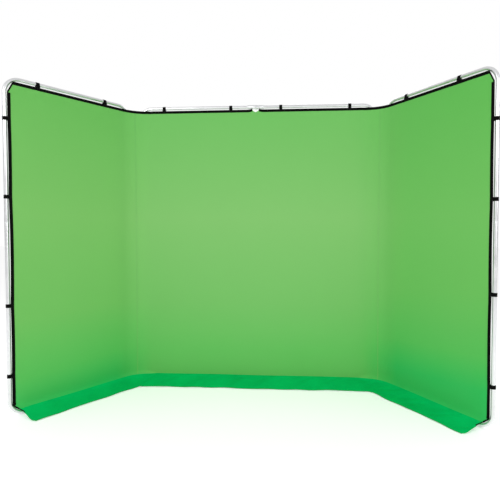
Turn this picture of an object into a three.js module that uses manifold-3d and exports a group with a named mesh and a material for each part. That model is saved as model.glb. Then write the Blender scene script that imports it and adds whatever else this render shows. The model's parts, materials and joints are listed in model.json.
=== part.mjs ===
// A collapsible studio backdrop of three panels: a wide centre panel and two wings, toed in.
// Each panel has a round-cornered frame of aluminium tube, and one green cover hangs on all three.
// Link clamps join the wings to the centre, and a book hinge lets the centre fold back on itself.
// Millimetres, +Z up. The covered front faces -Y and the frames stand on Z = 0.
import * as THREE from "three";
import { mergeVertices } from "three/addons/utils/BufferGeometryUtils.js";
import Module from "manifold-3d";

const wasm = await Module();
wasm.setup();

// Overall sizes.
const height = 2300;
const centreWidth = 1980;
const wingWidth = 980;
const toeIn = THREE.MathUtils.degToRad(56.5); // each wing, away from the plane of the centre panel
const clearance = 0.3; // between pieces that touch

// Tube frames.
const tubeRadius = 14;
const tubeWall = 1.5;
const tubeSides = 12;
const bendRadius = 100; // centre line of a rounded corner
const bendSteps = 4;
const legReach = 150; // from a rail's axis to the end of the bow's short leg
const upperJoint = 1322; // height where an upright's two sections meet
const legSwage = 45; // length of the reduced end inside a bow
const midSwage = 60; // length of the reduced end inside the upper section

// Snap buttons at the upright joints.
const buttonHeight = upperJoint + 20;
const buttonRadius = 3;
const buttonProud = 2.2;
const buttonBevel = 1;
const buttonHoleRadius = 3.4;
const buttonFlange = { radius: 4.6, start: 6.5, end: 8 }; // inside the tube, from its axis

// Book hinge in the middle of the centre panel's rails.
const collarStart = 0.5; // from the middle of the panel
const collarLength = 67;
const collarWall = 3.2;
const armLength = 24; // how far along the rail a knuckle's arm reaches
const hingeAxisY = 30; // behind the tubes
const knuckleRadius = 6;
const knuckleHalf = 4.5; // half height of the middle knuckle
const knuckleOuter = 13; // where the outer knuckles end
const knuckleGap = 0.4;
const pinRadius = 2.9;
const pinHead = { radius: 4.5, height: 2 };
const floorGap = 0.5; // under the collars of the bottom rail

// Link clamps between the centre panel and the wings.
const linkLength = 95;
const clampHeights = { bottom: 350, top: 1950 };
const jawHeight = 46;
const jawRadius = 17.9;
const jawSplit = 2; // gap between the two jaws
const screwRadius = 3;
const screwHoleRadius = 3.4;
const knobDepth = 9.5;
const knobLength = 44;
const knobWidth = 10;
const hub = { radius: 8, height: 6.6 };

// Cover, hem and clips.
const coverBack = -18.4; // Y of the back face of the cover in each panel's own frame
const coverThickness = 2;
const coverFoot = 55; // where the cover bends forward into its skirt
const skirtReach = 200; // how far the skirt reaches in front of the frame
const skirtFloor = 1.6;
const skirtBend = { reach: 40, height: 17 }; // the pull point of its curve, in front of the cover
const hemGap = 10; // between the rails and the hem
const hemLap = 7; // from the outer upright's axis to the hem, which laps over the tube's front
const hemWidth = 22;
const hemFoot = 90; // where the side hem ends
const topCorner = { across: 38, down: 75 }; // the slanted cut at the upper outer corner
const footCorner = 50; // how far the lower outer corner is cut in
const bindingWidth = 6; // along the slanted cuts
const foldGap = 3; // half the gap in the cover at the centre hinge
const hemFoldGap = 27; // half the gap in the hem there
const mitreGap = 2;
const clipWidth = 25;
const clipWall = 1.8;
const tabShare = 0.5; // how much of the hem's width a clip's tab covers
const wingRailClips = { left: [225, 740], right: [214, 681] }; // along the wing, from its inner upright
const sideClips = { left: [283, 760, 1492, 2012], right: [286, 867, 1461, 1956] }; // heights
const centreRailClips = [207, 769]; // from the middle of the centre panel

// Worked out from the sizes above.
const railHeight = height - tubeRadius;
const centreSpan = centreWidth / 2 - tubeRadius; // from the middle to the upright's axis
const wingSpan = wingWidth - 2 * tubeRadius; // between the wing's two upright axes
const boreRadius = tubeRadius - tubeWall;
const swageRadius = boreRadius - clearance;
const swageBore = swageRadius - tubeWall;
const legEnd = railHeight - legReach;
const footEnd = height - legEnd;
const coverFront = coverBack - coverThickness;
const coverEdge = jawRadius + 3.6; // from an inner upright's axis to the edge of the cover
const hemTop = railHeight - tubeRadius - hemGap;
const coverTop = hemTop - hemWidth;
const hemSide = wingSpan - hemLap;
const coverSide = hemSide - hemWidth;
const facetScale = 1 / Math.cos(Math.PI / tubeSides); // corner radius of a polygon of unit flat radius

// Materials.
const finish = (color, roughness, metalness) =>
  () => new THREE.MeshStandardMaterial({ color, roughness, metalness });
const aluminium = finish(0xc9ccd0, 0.32, 1);
const castMetal = finish(0xe2e4e6, 0.45, 1);
const steel = finish(0x8d9196, 0.3, 1);
const blackPlastic = finish(0x1b1c1e, 0.55, 0);
const greenCloth = finish(0x5fbf52, 0.9, 0);
const skirtCloth = finish(0x12a548, 0.85, 0);
const blackWebbing = finish(0x141416, 0.85, 0);

// The solid of a closed geometry.
function solidOf(geometry) {
  const bare = geometry.clone();
  bare.deleteAttribute("normal");
  bare.deleteAttribute("uv");
  const merged = mergeVertices(bare, 1e-3);
  const mesh = new wasm.Mesh({
    numProp: 3,
    vertProperties: new Float32Array(merged.attributes.position.array),
    triVerts: new Uint32Array(merged.index.array),
  });
  return new wasm.Manifold(mesh);
}

// The geometry of a solid.
function geometryOf(solid) {
  const mesh = solid.getMesh();
  const geometry = new THREE.BufferGeometry();
  geometry.setAttribute("position", new THREE.BufferAttribute(mesh.vertProperties, 3));
  geometry.setIndex(new THREE.BufferAttribute(mesh.triVerts, 1));
  geometry.computeVertexNormals();
  return geometry;
}

function joined(...geometries) {
  return geometryOf(geometries.map(solidOf).reduce((sum, next) => sum.add(next)));
}

function cut(geometry, ...cutters) {
  return geometryOf(cutters.map(solidOf).reduce((rest, next) => rest.subtract(next), solidOf(geometry)));
}

function addMesh(parent, name, geometry, material) {
  const mesh = new THREE.Mesh(geometry, material());
  mesh.name = name;
  parent.add(mesh);
  return mesh;
}

// Points of a regular polygon with flats on the axes, given its flat radius.
function polygonPoints(flatRadius) {
  const points = [];
  for (let i = 0; i < tubeSides; i++) {
    const angle = ((i + 0.5) / tubeSides) * 2 * Math.PI;
    const radius = flatRadius * facetScale;
    points.push(new THREE.Vector2(radius * Math.cos(angle), radius * Math.sin(angle)));
  }
  return points;
}

function ringShape(outer, inner) {
  const shape = new THREE.Shape(polygonPoints(outer));
  shape.holes.push(new THREE.Path(polygonPoints(inner)));
  return shape;
}

// A solid of revolution about Z from a closed profile of [radius, height] pairs.
function turned(profile) {
  const points = [...profile, profile[0]].map(([r, z]) => new THREE.Vector2(r * facetScale, z));
  return new THREE.LatheGeometry(points, tubeSides, Math.PI / tubeSides).rotateX(Math.PI / 2);
}

// A solid of revolution about Z from the outline of its outer side, closed on the axis.
function turnedSolid(outline) {
  const low = outline[0][1];
  const high = outline[outline.length - 1][1];
  const points = [[0, low], ...outline, [0, high]].map(([r, z]) => new THREE.Vector2(r * facetScale, z));
  return new THREE.LatheGeometry(points, tubeSides, Math.PI / tubeSides).rotateX(Math.PI / 2);
}

// A solid cylinder along Z.
function rod(radius, low, high) {
  return turnedSolid([[radius, low], [radius, high]]);
}

// A box between two corners.
function block(x0, x1, y0, y1, z0, z1) {
  const box = new THREE.BoxGeometry(x1 - x0, y1 - y0, z1 - z0);
  return box.translate((x0 + x1) / 2, (y0 + y1) / 2, (z0 + z1) / 2);
}

// Turns a geometry drawn along Z so that it lies along X, with its X on Y and its Y on Z.
function laidAlongX(geometry) {
  const axes = [new THREE.Vector3(0, 1, 0), new THREE.Vector3(0, 0, 1), new THREE.Vector3(1, 0, 0)];
  return geometry.applyMatrix4(new THREE.Matrix4().makeBasis(...axes));
}

// A flat outline of [x, z] points, made as thick as the cover.
function coverSheet(outline) {
  const shape = new THREE.Shape(outline.map(([x, z]) => new THREE.Vector2(x, z)));
  const sheet = new THREE.ExtrudeGeometry(shape, { depth: coverThickness, bevelEnabled: false });
  return sheet.rotateX(Math.PI / 2).translate(0, coverBack, 0);
}

// A path through listed stations, so that a straight run needs no steps of its own.
class StationPath extends THREE.Curve {
  constructor(stations) {
    super();
    this.stations = stations;
  }

  getSpacedPoints() {
    return this.stations.map(({ point }) => point.clone());
  }

  getTangentAt(u, target = new THREE.Vector3()) {
    const last = this.stations.length - 1;
    return target.copy(this.stations[Math.round(u * last)].tangent);
  }
}

function station(x, z, tangentX, tangentZ) {
  return { point: new THREE.Vector3(x, 0, z), tangent: new THREE.Vector3(tangentX, 0, tangentZ) };
}

// The stations of a quarter bend about a centre, clockwise from one angle in quarter turns.
function bend(centreX, centreZ, quarter) {
  const stations = [];
  for (let i = 0; i <= bendSteps; i++) {
    const angle = (quarter - i / bendSteps) * (Math.PI / 2);
    const [c, s] = [Math.cos(angle), Math.sin(angle)];
    stations.push(station(centreX + bendRadius * c, centreZ + bendRadius * s, s, -c));
  }
  return stations;
}

function bentTube(stations) {
  const extrudePath = new StationPath(stations);
  const shape = ringShape(tubeRadius, boreRadius);
  return new THREE.ExtrudeGeometry(shape, { steps: stations.length - 1, extrudePath });
}

// The wing's top bow: two short legs, two bends and the rail between them.
function wingBow() {
  const bendHeight = railHeight - bendRadius;
  return bentTube([
    station(0, legEnd, 0, 1),
    ...bend(bendRadius, bendHeight, 2),
    ...bend(wingSpan - bendRadius, bendHeight, 1),
    station(wingSpan, legEnd, 0, -1),
  ]);
}

// Half of the centre panel's top bow, from the hinge to the leg.
function centreBow() {
  return bentTube([
    station(2 * foldGap, railHeight, 1, 0),
    ...bend(centreSpan - bendRadius, railHeight - bendRadius, 1),
    station(centreSpan, legEnd, 0, -1),
  ]);
}

// The hole for a snap button, towards -Y.
function buttonHole() {
  const hole = rod(buttonHoleRadius, buttonFlange.start, 2 * tubeRadius);
  return hole.rotateX(Math.PI / 2).translate(0, 0, buttonHeight);
}

// Lower section of an upright: a reduced end at the foot and another at the joint.
function lowerSection() {
  const foot = footEnd + clearance;
  const top = upperJoint - clearance;
  const taper = tubeWall;
  const tube = turned([
    [swageRadius, foot - legSwage],
    [swageRadius, foot],
    [tubeRadius, foot],
    [tubeRadius, top],
    [swageRadius, top],
    [swageRadius, top + midSwage],
    [swageBore, top + midSwage],
    [swageBore, top - taper],
    [boreRadius, top - 2 * taper],
    [boreRadius, foot + 2 * taper],
    [swageBore, foot + taper],
    [swageBore, foot - legSwage],
  ]);
  return cut(tube, buttonHole());
}

// Upper section of an upright: open at the joint, with a reduced end inside the top bow.
function upperSection() {
  const top = legEnd - clearance;
  const taper = tubeWall;
  const tube = turned([
    [tubeRadius, upperJoint],
    [tubeRadius, top],
    [swageRadius, top],
    [swageRadius, top + legSwage],
    [swageBore, top + legSwage],
    [swageBore, top - taper],
    [boreRadius, top - 2 * taper],
    [boreRadius, upperJoint],
  ]);
  return cut(tube, buttonHole());
}

// A snap button with its flange inside the tube, pointing to -Y.
function snapButton() {
  const tip = tubeRadius + buttonProud;
  const button = turnedSolid([
    [buttonFlange.radius, buttonFlange.start],
    [buttonFlange.radius, buttonFlange.end],
    [buttonRadius, buttonFlange.end],
    [buttonRadius, tip - buttonBevel],
    [buttonRadius - buttonBevel, tip],
  ]);
  return button.rotateX(Math.PI / 2).translate(0, 0, buttonHeight);
}

// A hinge leaf on the +X side: a collar over the rail's end and an arm to each of its knuckles.
function hingeLeaf(knuckles, ...cutters) {
  const outer = tubeRadius + clearance + collarWall;
  const collarShape = ringShape(outer, tubeRadius + clearance);
  const collar = new THREE.ExtrudeGeometry(collarShape, { depth: collarLength, bevelEnabled: false });
  const pieces = [laidAlongX(collar).translate(collarStart, 0, 0)];
  const armStart = tubeRadius + collarWall / 2;
  for (const [low, high] of knuckles) {
    pieces.push(block(collarStart, armLength, armStart, hingeAxisY + knuckleRadius - 1, low, high));
    pieces.push(rod(knuckleRadius, low, high).translate(0, hingeAxisY, 0));
  }
  const pinHole = rod(pinRadius + clearance, -2 * knuckleOuter, 2 * knuckleOuter);
  return cut(joined(...pieces), pinHole.translate(0, hingeAxisY, 0), ...cutters);
}

const middleKnuckle = [[-knuckleHalf, knuckleHalf]];
const outerKnuckles = [
  [knuckleHalf + knuckleGap, knuckleOuter],
  [-knuckleOuter, -knuckleHalf - knuckleGap],
];

// What is cut off a collar on the bottom rail, so that the rail still rests on the floor.
function floorCutter() {
  const size = 2 * collarLength;
  return block(-size, size, -size, size, -size, floorGap - tubeRadius);
}

function hingePin() {
  const head = knuckleOuter + clearance;
  return turnedSolid([
    [pinRadius, -knuckleOuter],
    [pinRadius, head],
    [pinHead.radius, head],
    [pinHead.radius, head + pinHead.height],
  ]);
}

// The front jaw of a link clamp, around the fronts of both tubes, centred on Z = 0.
function clampJaw() {
  const half = jawSplit / 2;
  const groove = tubeRadius * facetScale + clearance;
  const outerAngle = Math.asin(half / jawRadius);
  const grooveAngle = Math.asin(half / groove);
  const shape = new THREE.Shape();
  shape.absarc(0, 0, jawRadius, Math.PI + outerAngle, 1.5 * Math.PI, false);
  shape.absarc(linkLength, 0, jawRadius, 1.5 * Math.PI, 2 * Math.PI - outerAngle, false);
  shape.absarc(linkLength, 0, groove, -grooveAngle, -Math.PI + grooveAngle, true);
  shape.absarc(0, 0, groove, -grooveAngle, -Math.PI + grooveAngle, true);
  const options = { depth: jawHeight, bevelEnabled: false, curveSegments: 5 };
  const jaw = new THREE.ExtrudeGeometry(shape, options).translate(0, 0, -jawHeight / 2);
  const hole = rod(screwHoleRadius, 0, 2 * jawRadius).rotateX(Math.PI / 2);
  return cut(jaw, hole.translate(linkLength / 2, 0, 0));
}

// The clamp's T knob with its screw, which runs forward through both jaws.
function clampKnob() {
  const base = jawRadius + clearance;
  const screw = rod(screwRadius, 2 * clearance - jawRadius, base + 2);
  const disc = rod(hub.radius, base, base + hub.height);
  const [wide, long] = [knobWidth / 2, knobLength / 2];
  const bar = block(-wide, wide, -long, long, base + 1, base + knobDepth);
  return joined(screw, disc, bar).rotateX(-Math.PI / 2).translate(linkLength / 2, 0, 0);
}

// A strap clip around a tube that runs along Z at the origin, with a tab that reaches to -X.
function clip(tabLength) {
  const outer = tubeRadius + clearance + clipWall;
  const options = { depth: clipWidth, bevelEnabled: false };
  const loop = new THREE.ExtrudeGeometry(ringShape(outer, tubeRadius + clearance), options);
  const tab = block(-tabLength, 0, coverFront, -tubeRadius - 1, 0, clipWidth);
  return joined(loop, tab).translate(0, 0, -clipWidth / 2);
}

function clipOnUpright() {
  return clip(hemLap + tabShare * hemWidth);
}

// The clip on a rail that runs along X, with its tab reaching down.
function clipOnRail() {
  return clip(tubeRadius + hemGap + tabShare * hemWidth).rotateY(-Math.PI / 2);
}

// The outline of a slanted corner at a distance inside the cloth's edge, from the top round to the side.
function cornerOutline(inset, binding) {
  const slant = topCorner.down / topCorner.across;
  const fall = topCorner.down + binding * Math.hypot(1, slant) - inset;
  return [
    [hemSide - inset - (fall - inset * slant) / slant, hemTop - inset],
    [hemSide - inset, hemTop - inset - (fall - inset * slant)],
  ];
}

// The wing's hem: a band along the top and the outer side with a cut corner, and its clips.
function wingHem(side) {
  const [innerTop, innerSide] = cornerOutline(hemWidth - clearance, bindingWidth);
  const [outerTop, outerSide] = cornerOutline(0, 0);
  const band = coverSheet([
    [coverEdge, coverTop + clearance],
    innerTop,
    innerSide,
    [coverSide + clearance, hemFoot],
    [hemSide, hemFoot],
    outerSide,
    outerTop,
    [coverEdge, hemTop],
  ]);
  const rails = wingRailClips[side].map((x) => clipOnRail().translate(x, 0, railHeight));
  const sides = sideClips[side].map((z) => clipOnUpright().translate(wingSpan, 0, z));
  return joined(band, ...rails, ...sides);
}

function centreHem() {
  const edge = centreSpan - coverEdge;
  const low = coverTop + clearance;
  const band = coverSheet([[hemFoldGap, low], [edge, low], [edge, hemTop], [hemFoldGap, hemTop]]);
  const clips = centreRailClips.map((x) => clipOnRail().translate(x, 0, railHeight));
  return joined(band, ...clips);
}

function wingCover() {
  const [cornerTop, cornerSide] = cornerOutline(hemWidth, bindingWidth + clearance);
  return coverSheet([
    [coverEdge, coverFoot],
    [hemSide - footCorner, coverFoot],
    [coverSide, hemFoot],
    cornerSide,
    cornerTop,
    [coverEdge, coverTop],
  ]);
}

function centreCover() {
  const edge = centreSpan - coverEdge;
  return coverSheet([[foldGap, coverFoot], [edge, coverFoot], [edge, coverTop], [foldGap, coverTop]]);
}

// The strip of cover over a link, clear of both uprights when the wing folds flat.
function linkCover() {
  const inset = tubeRadius + 2;
  return coverSheet([
    [inset, coverFoot],
    [linkLength - inset, coverFoot],
    [linkLength - inset, hemTop],
    [inset, hemTop],
  ]);
}

// The skirt between two X positions: it bends forward from the foot of the cover and lies out.
function skirt(x0, x1) {
  const top = coverFoot - 2 * clearance;
  const bendFront = coverFront - skirtBend.reach;
  const shape = new THREE.Shape();
  shape.moveTo(coverFront, top);
  shape.quadraticCurveTo(bendFront, skirtBend.height, -skirtReach, skirtFloor + coverThickness);
  shape.lineTo(-skirtReach, skirtFloor);
  shape.quadraticCurveTo(bendFront, skirtBend.height - coverThickness, coverBack, top);
  const options = { depth: x1 - x0, bevelEnabled: false, curveSegments: 6 };
  return laidAlongX(new THREE.ExtrudeGeometry(shape, options)).translate(x0, 0, 0);
}

// A block that takes away what lies beyond the mitre at a link. Its sign gives the side it is on.
function mitreCutter(sign) {
  const size = 4 * skirtReach;
  const cutter = new THREE.BoxGeometry(size, size, size).translate(sign * (size / 2 - mitreGap), 0, 0);
  const turn = (-sign * toeIn) / 2;
  const middle = new THREE.Vector3((sign * linkLength) / 2, 0, 0);
  middle.applyAxisAngle(new THREE.Vector3(0, 0, 1), turn);
  return cutter.rotateZ(turn).translate(middle.x, middle.y, 0);
}

function centreSkirt() {
  return cut(skirt(foldGap, centreSpan + skirtReach), mitreCutter(1).translate(centreSpan, 0, 0));
}

function wingSkirt() {
  return cut(skirt(-skirtReach, hemSide - footCorner), mitreCutter(-1));
}

// Turns a geometry about its own upright's axis so that what faced -Y faces +Y.
function facingBack(geometry) {
  return geometry.rotateZ(Math.PI);
}

// The two sections of an upright and its snap button at one X position.
function addUpright(parent, name, x, turn) {
  const pieces = { upright_lower: lowerSection(), upright_upper: upperSection() };
  for (const [piece, geometry] of Object.entries(pieces)) {
    addMesh(parent, `${name}_${piece}`, turn(geometry), aluminium).position.x = x;
  }
  addMesh(parent, `${name}_snap_button`, turn(snapButton()), steel).position.x = x;
}

// A bow at the top and its mirror image at the bottom.
function addBows(parent, name, geometry) {
  addMesh(parent, `${name}_top_bow`, geometry, aluminium);
  const bottom = addMesh(parent, `${name}_bottom_bow`, geometry, aluminium);
  bottom.scale.z = -1;
  bottom.position.z = height;
}

function centreHalf(side) {
  const name = `centre_${side}`;
  const half = new THREE.Group();
  addBows(half, name, centreBow());
  addUpright(half, name, centreSpan, facingBack);
  const knuckles = side === "left" ? middleKnuckle : outerKnuckles;
  const topLeaf = addMesh(half, `${name}_top_hinge_leaf`, hingeLeaf(knuckles), castMetal);
  const bottomLeaf = hingeLeaf(knuckles, floorCutter());
  topLeaf.position.z = railHeight;
  addMesh(half, `${name}_bottom_hinge_leaf`, bottomLeaf, castMetal).position.z = tubeRadius;
  addMesh(half, `${name}_cover`, centreCover(), greenCloth);
  addMesh(half, `${name}_hem`, centreHem(), blackWebbing);
  addMesh(half, `${name}_skirt`, centreSkirt(), skirtCloth);
  return half;
}

function wing(side) {
  const name = `${side}_wing`;
  const panel = new THREE.Group();
  addBows(panel, name, wingBow());
  addUpright(panel, `${name}_inner`, 0, facingBack);
  addUpright(panel, `${name}_outer`, wingSpan, (geometry) => geometry);
  addMesh(panel, `${name}_cover`, wingCover(), greenCloth);
  addMesh(panel, `${name}_hem`, wingHem(side), blackWebbing);
  addMesh(panel, `${name}_skirt`, wingSkirt(), skirtCloth);
  return panel;
}

// The clamps that link a wing to the centre, and the strip of cover over them.
function link(side) {
  const name = `${side}_link`;
  const clamps = new THREE.Group();
  for (const [level, z] of Object.entries(clampHeights)) {
    const rear = clampJaw().rotateZ(Math.PI).translate(linkLength, 0, 0);
    addMesh(clamps, `${name}_${level}_front_jaw`, clampJaw(), blackPlastic).position.z = z;
    addMesh(clamps, `${name}_${level}_rear_jaw`, rear, blackPlastic).position.z = z;
    addMesh(clamps, `${name}_${level}_knob`, clampKnob(), blackPlastic).position.z = z;
  }
  addMesh(clamps, `${name}_cover`, linkCover(), greenCloth);
  return clamps;
}

// Everything on one side of the middle. The left side mirrors the right, apart from its clips' places.
function sideAssembly(side) {
  const assembly = new THREE.Group();
  const clamps = link(side);
  const panel = wing(side);
  clamps.position.x = centreSpan;
  clamps.rotation.z = -toeIn / 2;
  panel.position.x = linkLength;
  panel.rotation.z = -toeIn / 2;
  clamps.add(panel);
  assembly.add(centreHalf(side), clamps);
  if (side === "left") {
    assembly.scale.x = -1;
  }
  return assembly;
}

const model = new THREE.Group();
model.add(sideAssembly("left"), sideAssembly("right"));
const railHeights = { top: railHeight, bottom: tubeRadius };
for (const [level, z] of Object.entries(railHeights)) {
  addMesh(model, `${level}_hinge_pin`, hingePin(), steel).position.set(0, hingeAxisY, z);
}

// The origin is on the floor under the middle of the whole backdrop.
const bounds = new THREE.Box3().setFromObject(model, true);
model.position.y = -(bounds.min.y + bounds.max.y) / 2;

const group = new THREE.Group();
group.name = "collapsible_backdrop_panel";
group.add(model);

export default group;
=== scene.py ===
"""Looks of the three-panel studio backdrop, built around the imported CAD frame.

Metres, +Z up, the covered front faces -Y. Shapes are worked out for the right side,
and the left side is their mirror image.
"""

import json
import math

import bmesh
import bpy
import numpy as np
from mathutils import Vector
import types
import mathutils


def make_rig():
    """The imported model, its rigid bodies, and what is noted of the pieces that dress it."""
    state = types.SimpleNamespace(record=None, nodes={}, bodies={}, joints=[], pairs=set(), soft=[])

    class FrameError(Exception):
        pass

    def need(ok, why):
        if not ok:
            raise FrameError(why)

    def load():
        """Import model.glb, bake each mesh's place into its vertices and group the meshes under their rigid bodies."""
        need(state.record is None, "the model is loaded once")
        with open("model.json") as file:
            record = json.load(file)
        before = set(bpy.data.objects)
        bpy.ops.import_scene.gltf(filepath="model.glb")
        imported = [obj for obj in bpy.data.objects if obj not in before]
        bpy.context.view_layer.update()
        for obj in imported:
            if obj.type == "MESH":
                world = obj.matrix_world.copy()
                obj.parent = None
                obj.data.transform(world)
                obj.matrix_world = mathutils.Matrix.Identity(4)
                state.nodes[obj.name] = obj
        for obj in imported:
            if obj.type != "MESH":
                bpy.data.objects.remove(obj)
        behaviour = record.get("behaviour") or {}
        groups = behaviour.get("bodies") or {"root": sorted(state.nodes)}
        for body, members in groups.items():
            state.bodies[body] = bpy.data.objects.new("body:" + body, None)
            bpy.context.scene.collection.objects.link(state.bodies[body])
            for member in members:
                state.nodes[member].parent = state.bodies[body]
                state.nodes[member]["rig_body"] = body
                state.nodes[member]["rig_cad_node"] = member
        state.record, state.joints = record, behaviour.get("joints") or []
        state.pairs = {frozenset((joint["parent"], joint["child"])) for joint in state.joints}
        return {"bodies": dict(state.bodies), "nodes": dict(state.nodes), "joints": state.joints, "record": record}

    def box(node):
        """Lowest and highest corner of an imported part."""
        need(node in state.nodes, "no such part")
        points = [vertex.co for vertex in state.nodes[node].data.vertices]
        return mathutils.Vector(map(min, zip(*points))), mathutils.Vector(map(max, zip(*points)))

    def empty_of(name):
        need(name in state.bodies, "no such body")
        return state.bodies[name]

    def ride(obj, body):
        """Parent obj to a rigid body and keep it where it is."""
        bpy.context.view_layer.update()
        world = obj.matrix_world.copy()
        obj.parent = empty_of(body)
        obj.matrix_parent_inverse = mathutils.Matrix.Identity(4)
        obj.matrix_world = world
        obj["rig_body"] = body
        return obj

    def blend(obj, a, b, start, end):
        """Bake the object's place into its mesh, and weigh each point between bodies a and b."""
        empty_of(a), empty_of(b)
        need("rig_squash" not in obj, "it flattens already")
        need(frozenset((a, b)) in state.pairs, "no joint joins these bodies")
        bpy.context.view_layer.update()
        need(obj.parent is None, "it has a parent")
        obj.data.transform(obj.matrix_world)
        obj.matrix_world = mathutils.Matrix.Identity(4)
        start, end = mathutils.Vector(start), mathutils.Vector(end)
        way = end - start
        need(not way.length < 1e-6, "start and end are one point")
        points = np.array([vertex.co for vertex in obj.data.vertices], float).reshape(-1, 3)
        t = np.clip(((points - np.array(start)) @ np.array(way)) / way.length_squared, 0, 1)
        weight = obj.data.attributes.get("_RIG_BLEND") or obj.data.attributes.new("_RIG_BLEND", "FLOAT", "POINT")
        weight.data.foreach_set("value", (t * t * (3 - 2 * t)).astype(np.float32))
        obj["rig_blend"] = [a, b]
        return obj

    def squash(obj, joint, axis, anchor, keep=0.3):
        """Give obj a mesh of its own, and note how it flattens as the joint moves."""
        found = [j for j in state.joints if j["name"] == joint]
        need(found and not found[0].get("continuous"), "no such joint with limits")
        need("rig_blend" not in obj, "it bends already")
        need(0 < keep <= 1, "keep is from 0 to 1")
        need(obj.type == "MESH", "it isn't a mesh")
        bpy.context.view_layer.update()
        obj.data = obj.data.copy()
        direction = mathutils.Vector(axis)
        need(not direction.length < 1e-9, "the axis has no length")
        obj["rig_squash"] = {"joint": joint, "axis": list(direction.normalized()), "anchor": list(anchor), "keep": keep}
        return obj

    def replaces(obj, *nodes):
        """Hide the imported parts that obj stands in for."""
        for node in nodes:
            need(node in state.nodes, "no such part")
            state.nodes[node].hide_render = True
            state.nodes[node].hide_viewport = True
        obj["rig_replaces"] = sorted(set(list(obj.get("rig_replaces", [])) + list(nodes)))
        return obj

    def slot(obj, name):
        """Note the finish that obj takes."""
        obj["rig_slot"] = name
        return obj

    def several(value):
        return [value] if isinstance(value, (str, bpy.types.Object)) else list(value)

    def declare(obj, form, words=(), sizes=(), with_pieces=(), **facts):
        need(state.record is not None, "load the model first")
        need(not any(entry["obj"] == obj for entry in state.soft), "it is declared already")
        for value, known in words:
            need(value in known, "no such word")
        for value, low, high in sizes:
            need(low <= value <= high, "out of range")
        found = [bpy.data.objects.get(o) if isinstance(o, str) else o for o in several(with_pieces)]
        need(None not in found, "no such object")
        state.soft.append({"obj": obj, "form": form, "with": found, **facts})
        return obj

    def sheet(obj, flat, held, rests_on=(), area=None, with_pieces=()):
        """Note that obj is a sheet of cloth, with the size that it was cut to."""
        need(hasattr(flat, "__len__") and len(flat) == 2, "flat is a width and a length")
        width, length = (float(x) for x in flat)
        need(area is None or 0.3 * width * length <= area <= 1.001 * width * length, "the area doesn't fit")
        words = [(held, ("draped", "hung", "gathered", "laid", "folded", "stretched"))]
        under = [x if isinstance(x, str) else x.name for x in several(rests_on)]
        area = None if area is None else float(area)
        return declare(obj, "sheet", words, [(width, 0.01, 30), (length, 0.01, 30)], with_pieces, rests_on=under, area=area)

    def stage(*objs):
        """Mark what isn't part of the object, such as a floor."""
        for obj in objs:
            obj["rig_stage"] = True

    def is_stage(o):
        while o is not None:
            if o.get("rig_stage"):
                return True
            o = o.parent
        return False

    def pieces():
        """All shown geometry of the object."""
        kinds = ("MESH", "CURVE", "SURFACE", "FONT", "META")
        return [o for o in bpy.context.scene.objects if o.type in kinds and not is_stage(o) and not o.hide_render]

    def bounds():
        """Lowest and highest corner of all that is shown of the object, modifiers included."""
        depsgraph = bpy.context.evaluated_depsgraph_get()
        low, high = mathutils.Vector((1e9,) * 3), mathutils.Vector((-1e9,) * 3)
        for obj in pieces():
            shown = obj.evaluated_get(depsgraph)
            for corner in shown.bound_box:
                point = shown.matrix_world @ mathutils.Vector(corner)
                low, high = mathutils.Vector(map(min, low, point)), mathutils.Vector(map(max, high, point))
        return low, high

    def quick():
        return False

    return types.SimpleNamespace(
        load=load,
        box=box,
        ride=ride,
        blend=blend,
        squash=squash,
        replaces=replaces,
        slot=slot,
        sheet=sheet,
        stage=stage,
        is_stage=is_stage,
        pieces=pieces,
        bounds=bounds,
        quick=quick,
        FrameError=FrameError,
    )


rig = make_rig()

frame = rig.load()
cad_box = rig.bounds()

MM = 0.001
SIDES = {"left": -1, "right": 1}


# ---------------------------------------------------------------- Places from the frame


def middle(node):
    low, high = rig.box(node)
    return (low + high) / 2


def plan_point(node):
    return np.array(middle(node)[:2])


CENTRE_POST = plan_point("centre_right_upright_lower")
INNER_POST = plan_point("right_wing_inner_upright_lower")
OUTER_POST = plan_point("right_wing_outer_upright_lower")
HINGE_AXIS = middle("top_hinge_pin")
TUBE_RADIUS = (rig.box("centre_right_upright_lower")[1].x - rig.box("centre_right_upright_lower")[0].x) / 2
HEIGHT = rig.box("centre_right_top_bow")[1].z
RAIL_HEIGHT = HEIGHT - TUBE_RADIUS
LEG_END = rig.box("centre_right_top_bow")[0].z
FOOT_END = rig.box("centre_right_bottom_bow")[1].z
UPPER_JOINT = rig.box("centre_right_upright_upper")[0].z
RAIL_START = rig.box("centre_right_top_bow")[0].x
COVER_DEPTH = CENTRE_POST[1] - middle("centre_right_cover").y
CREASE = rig.box("centre_right_cover")[0].z
HEM_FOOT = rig.box("centre_right_cover")[1].z
HEM_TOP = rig.box("right_link_cover")[1].z
HEM_WIDTH = HEM_TOP - HEM_FOOT
HEM_GAP = RAIL_HEIGHT - TUBE_RADIUS - HEM_TOP
HEM_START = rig.box("centre_right_hem")[0].x

# Sizes that the CAD source gives and the boxes don't.
BEND_RADIUS = 100 * MM
TUBE_WALL = 1.5 * MM
FIT = 0.3 * MM
LEG_SWAGE = 45 * MM
MID_SWAGE = 60 * MM
HEM_LAP = 7 * MM  # from the outer upright's axis to the side hem, which laps over the tube's front
CORNER_ACROSS = 38 * MM  # the slanted cut at the sheet's upper outer corner
CORNER_DOWN = 75 * MM
SIDE_HEM_FOOT = 80 * MM  # where the side hem ends
CENTRE_CLIPS = [207 * MM, 769 * MM]  # from the middle
WING_CLIPS = {"left": [225 * MM, 740 * MM], "right": [214 * MM, 681 * MM]}  # from the inner upright
SIDE_CLIPS = {
    "left": [283 * MM, 760 * MM, 1492 * MM, 2012 * MM],
    "right": [286 * MM, 867 * MM, 1461 * MM, 1956 * MM],
}
SKIRT_REACH = 200 * MM


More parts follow.
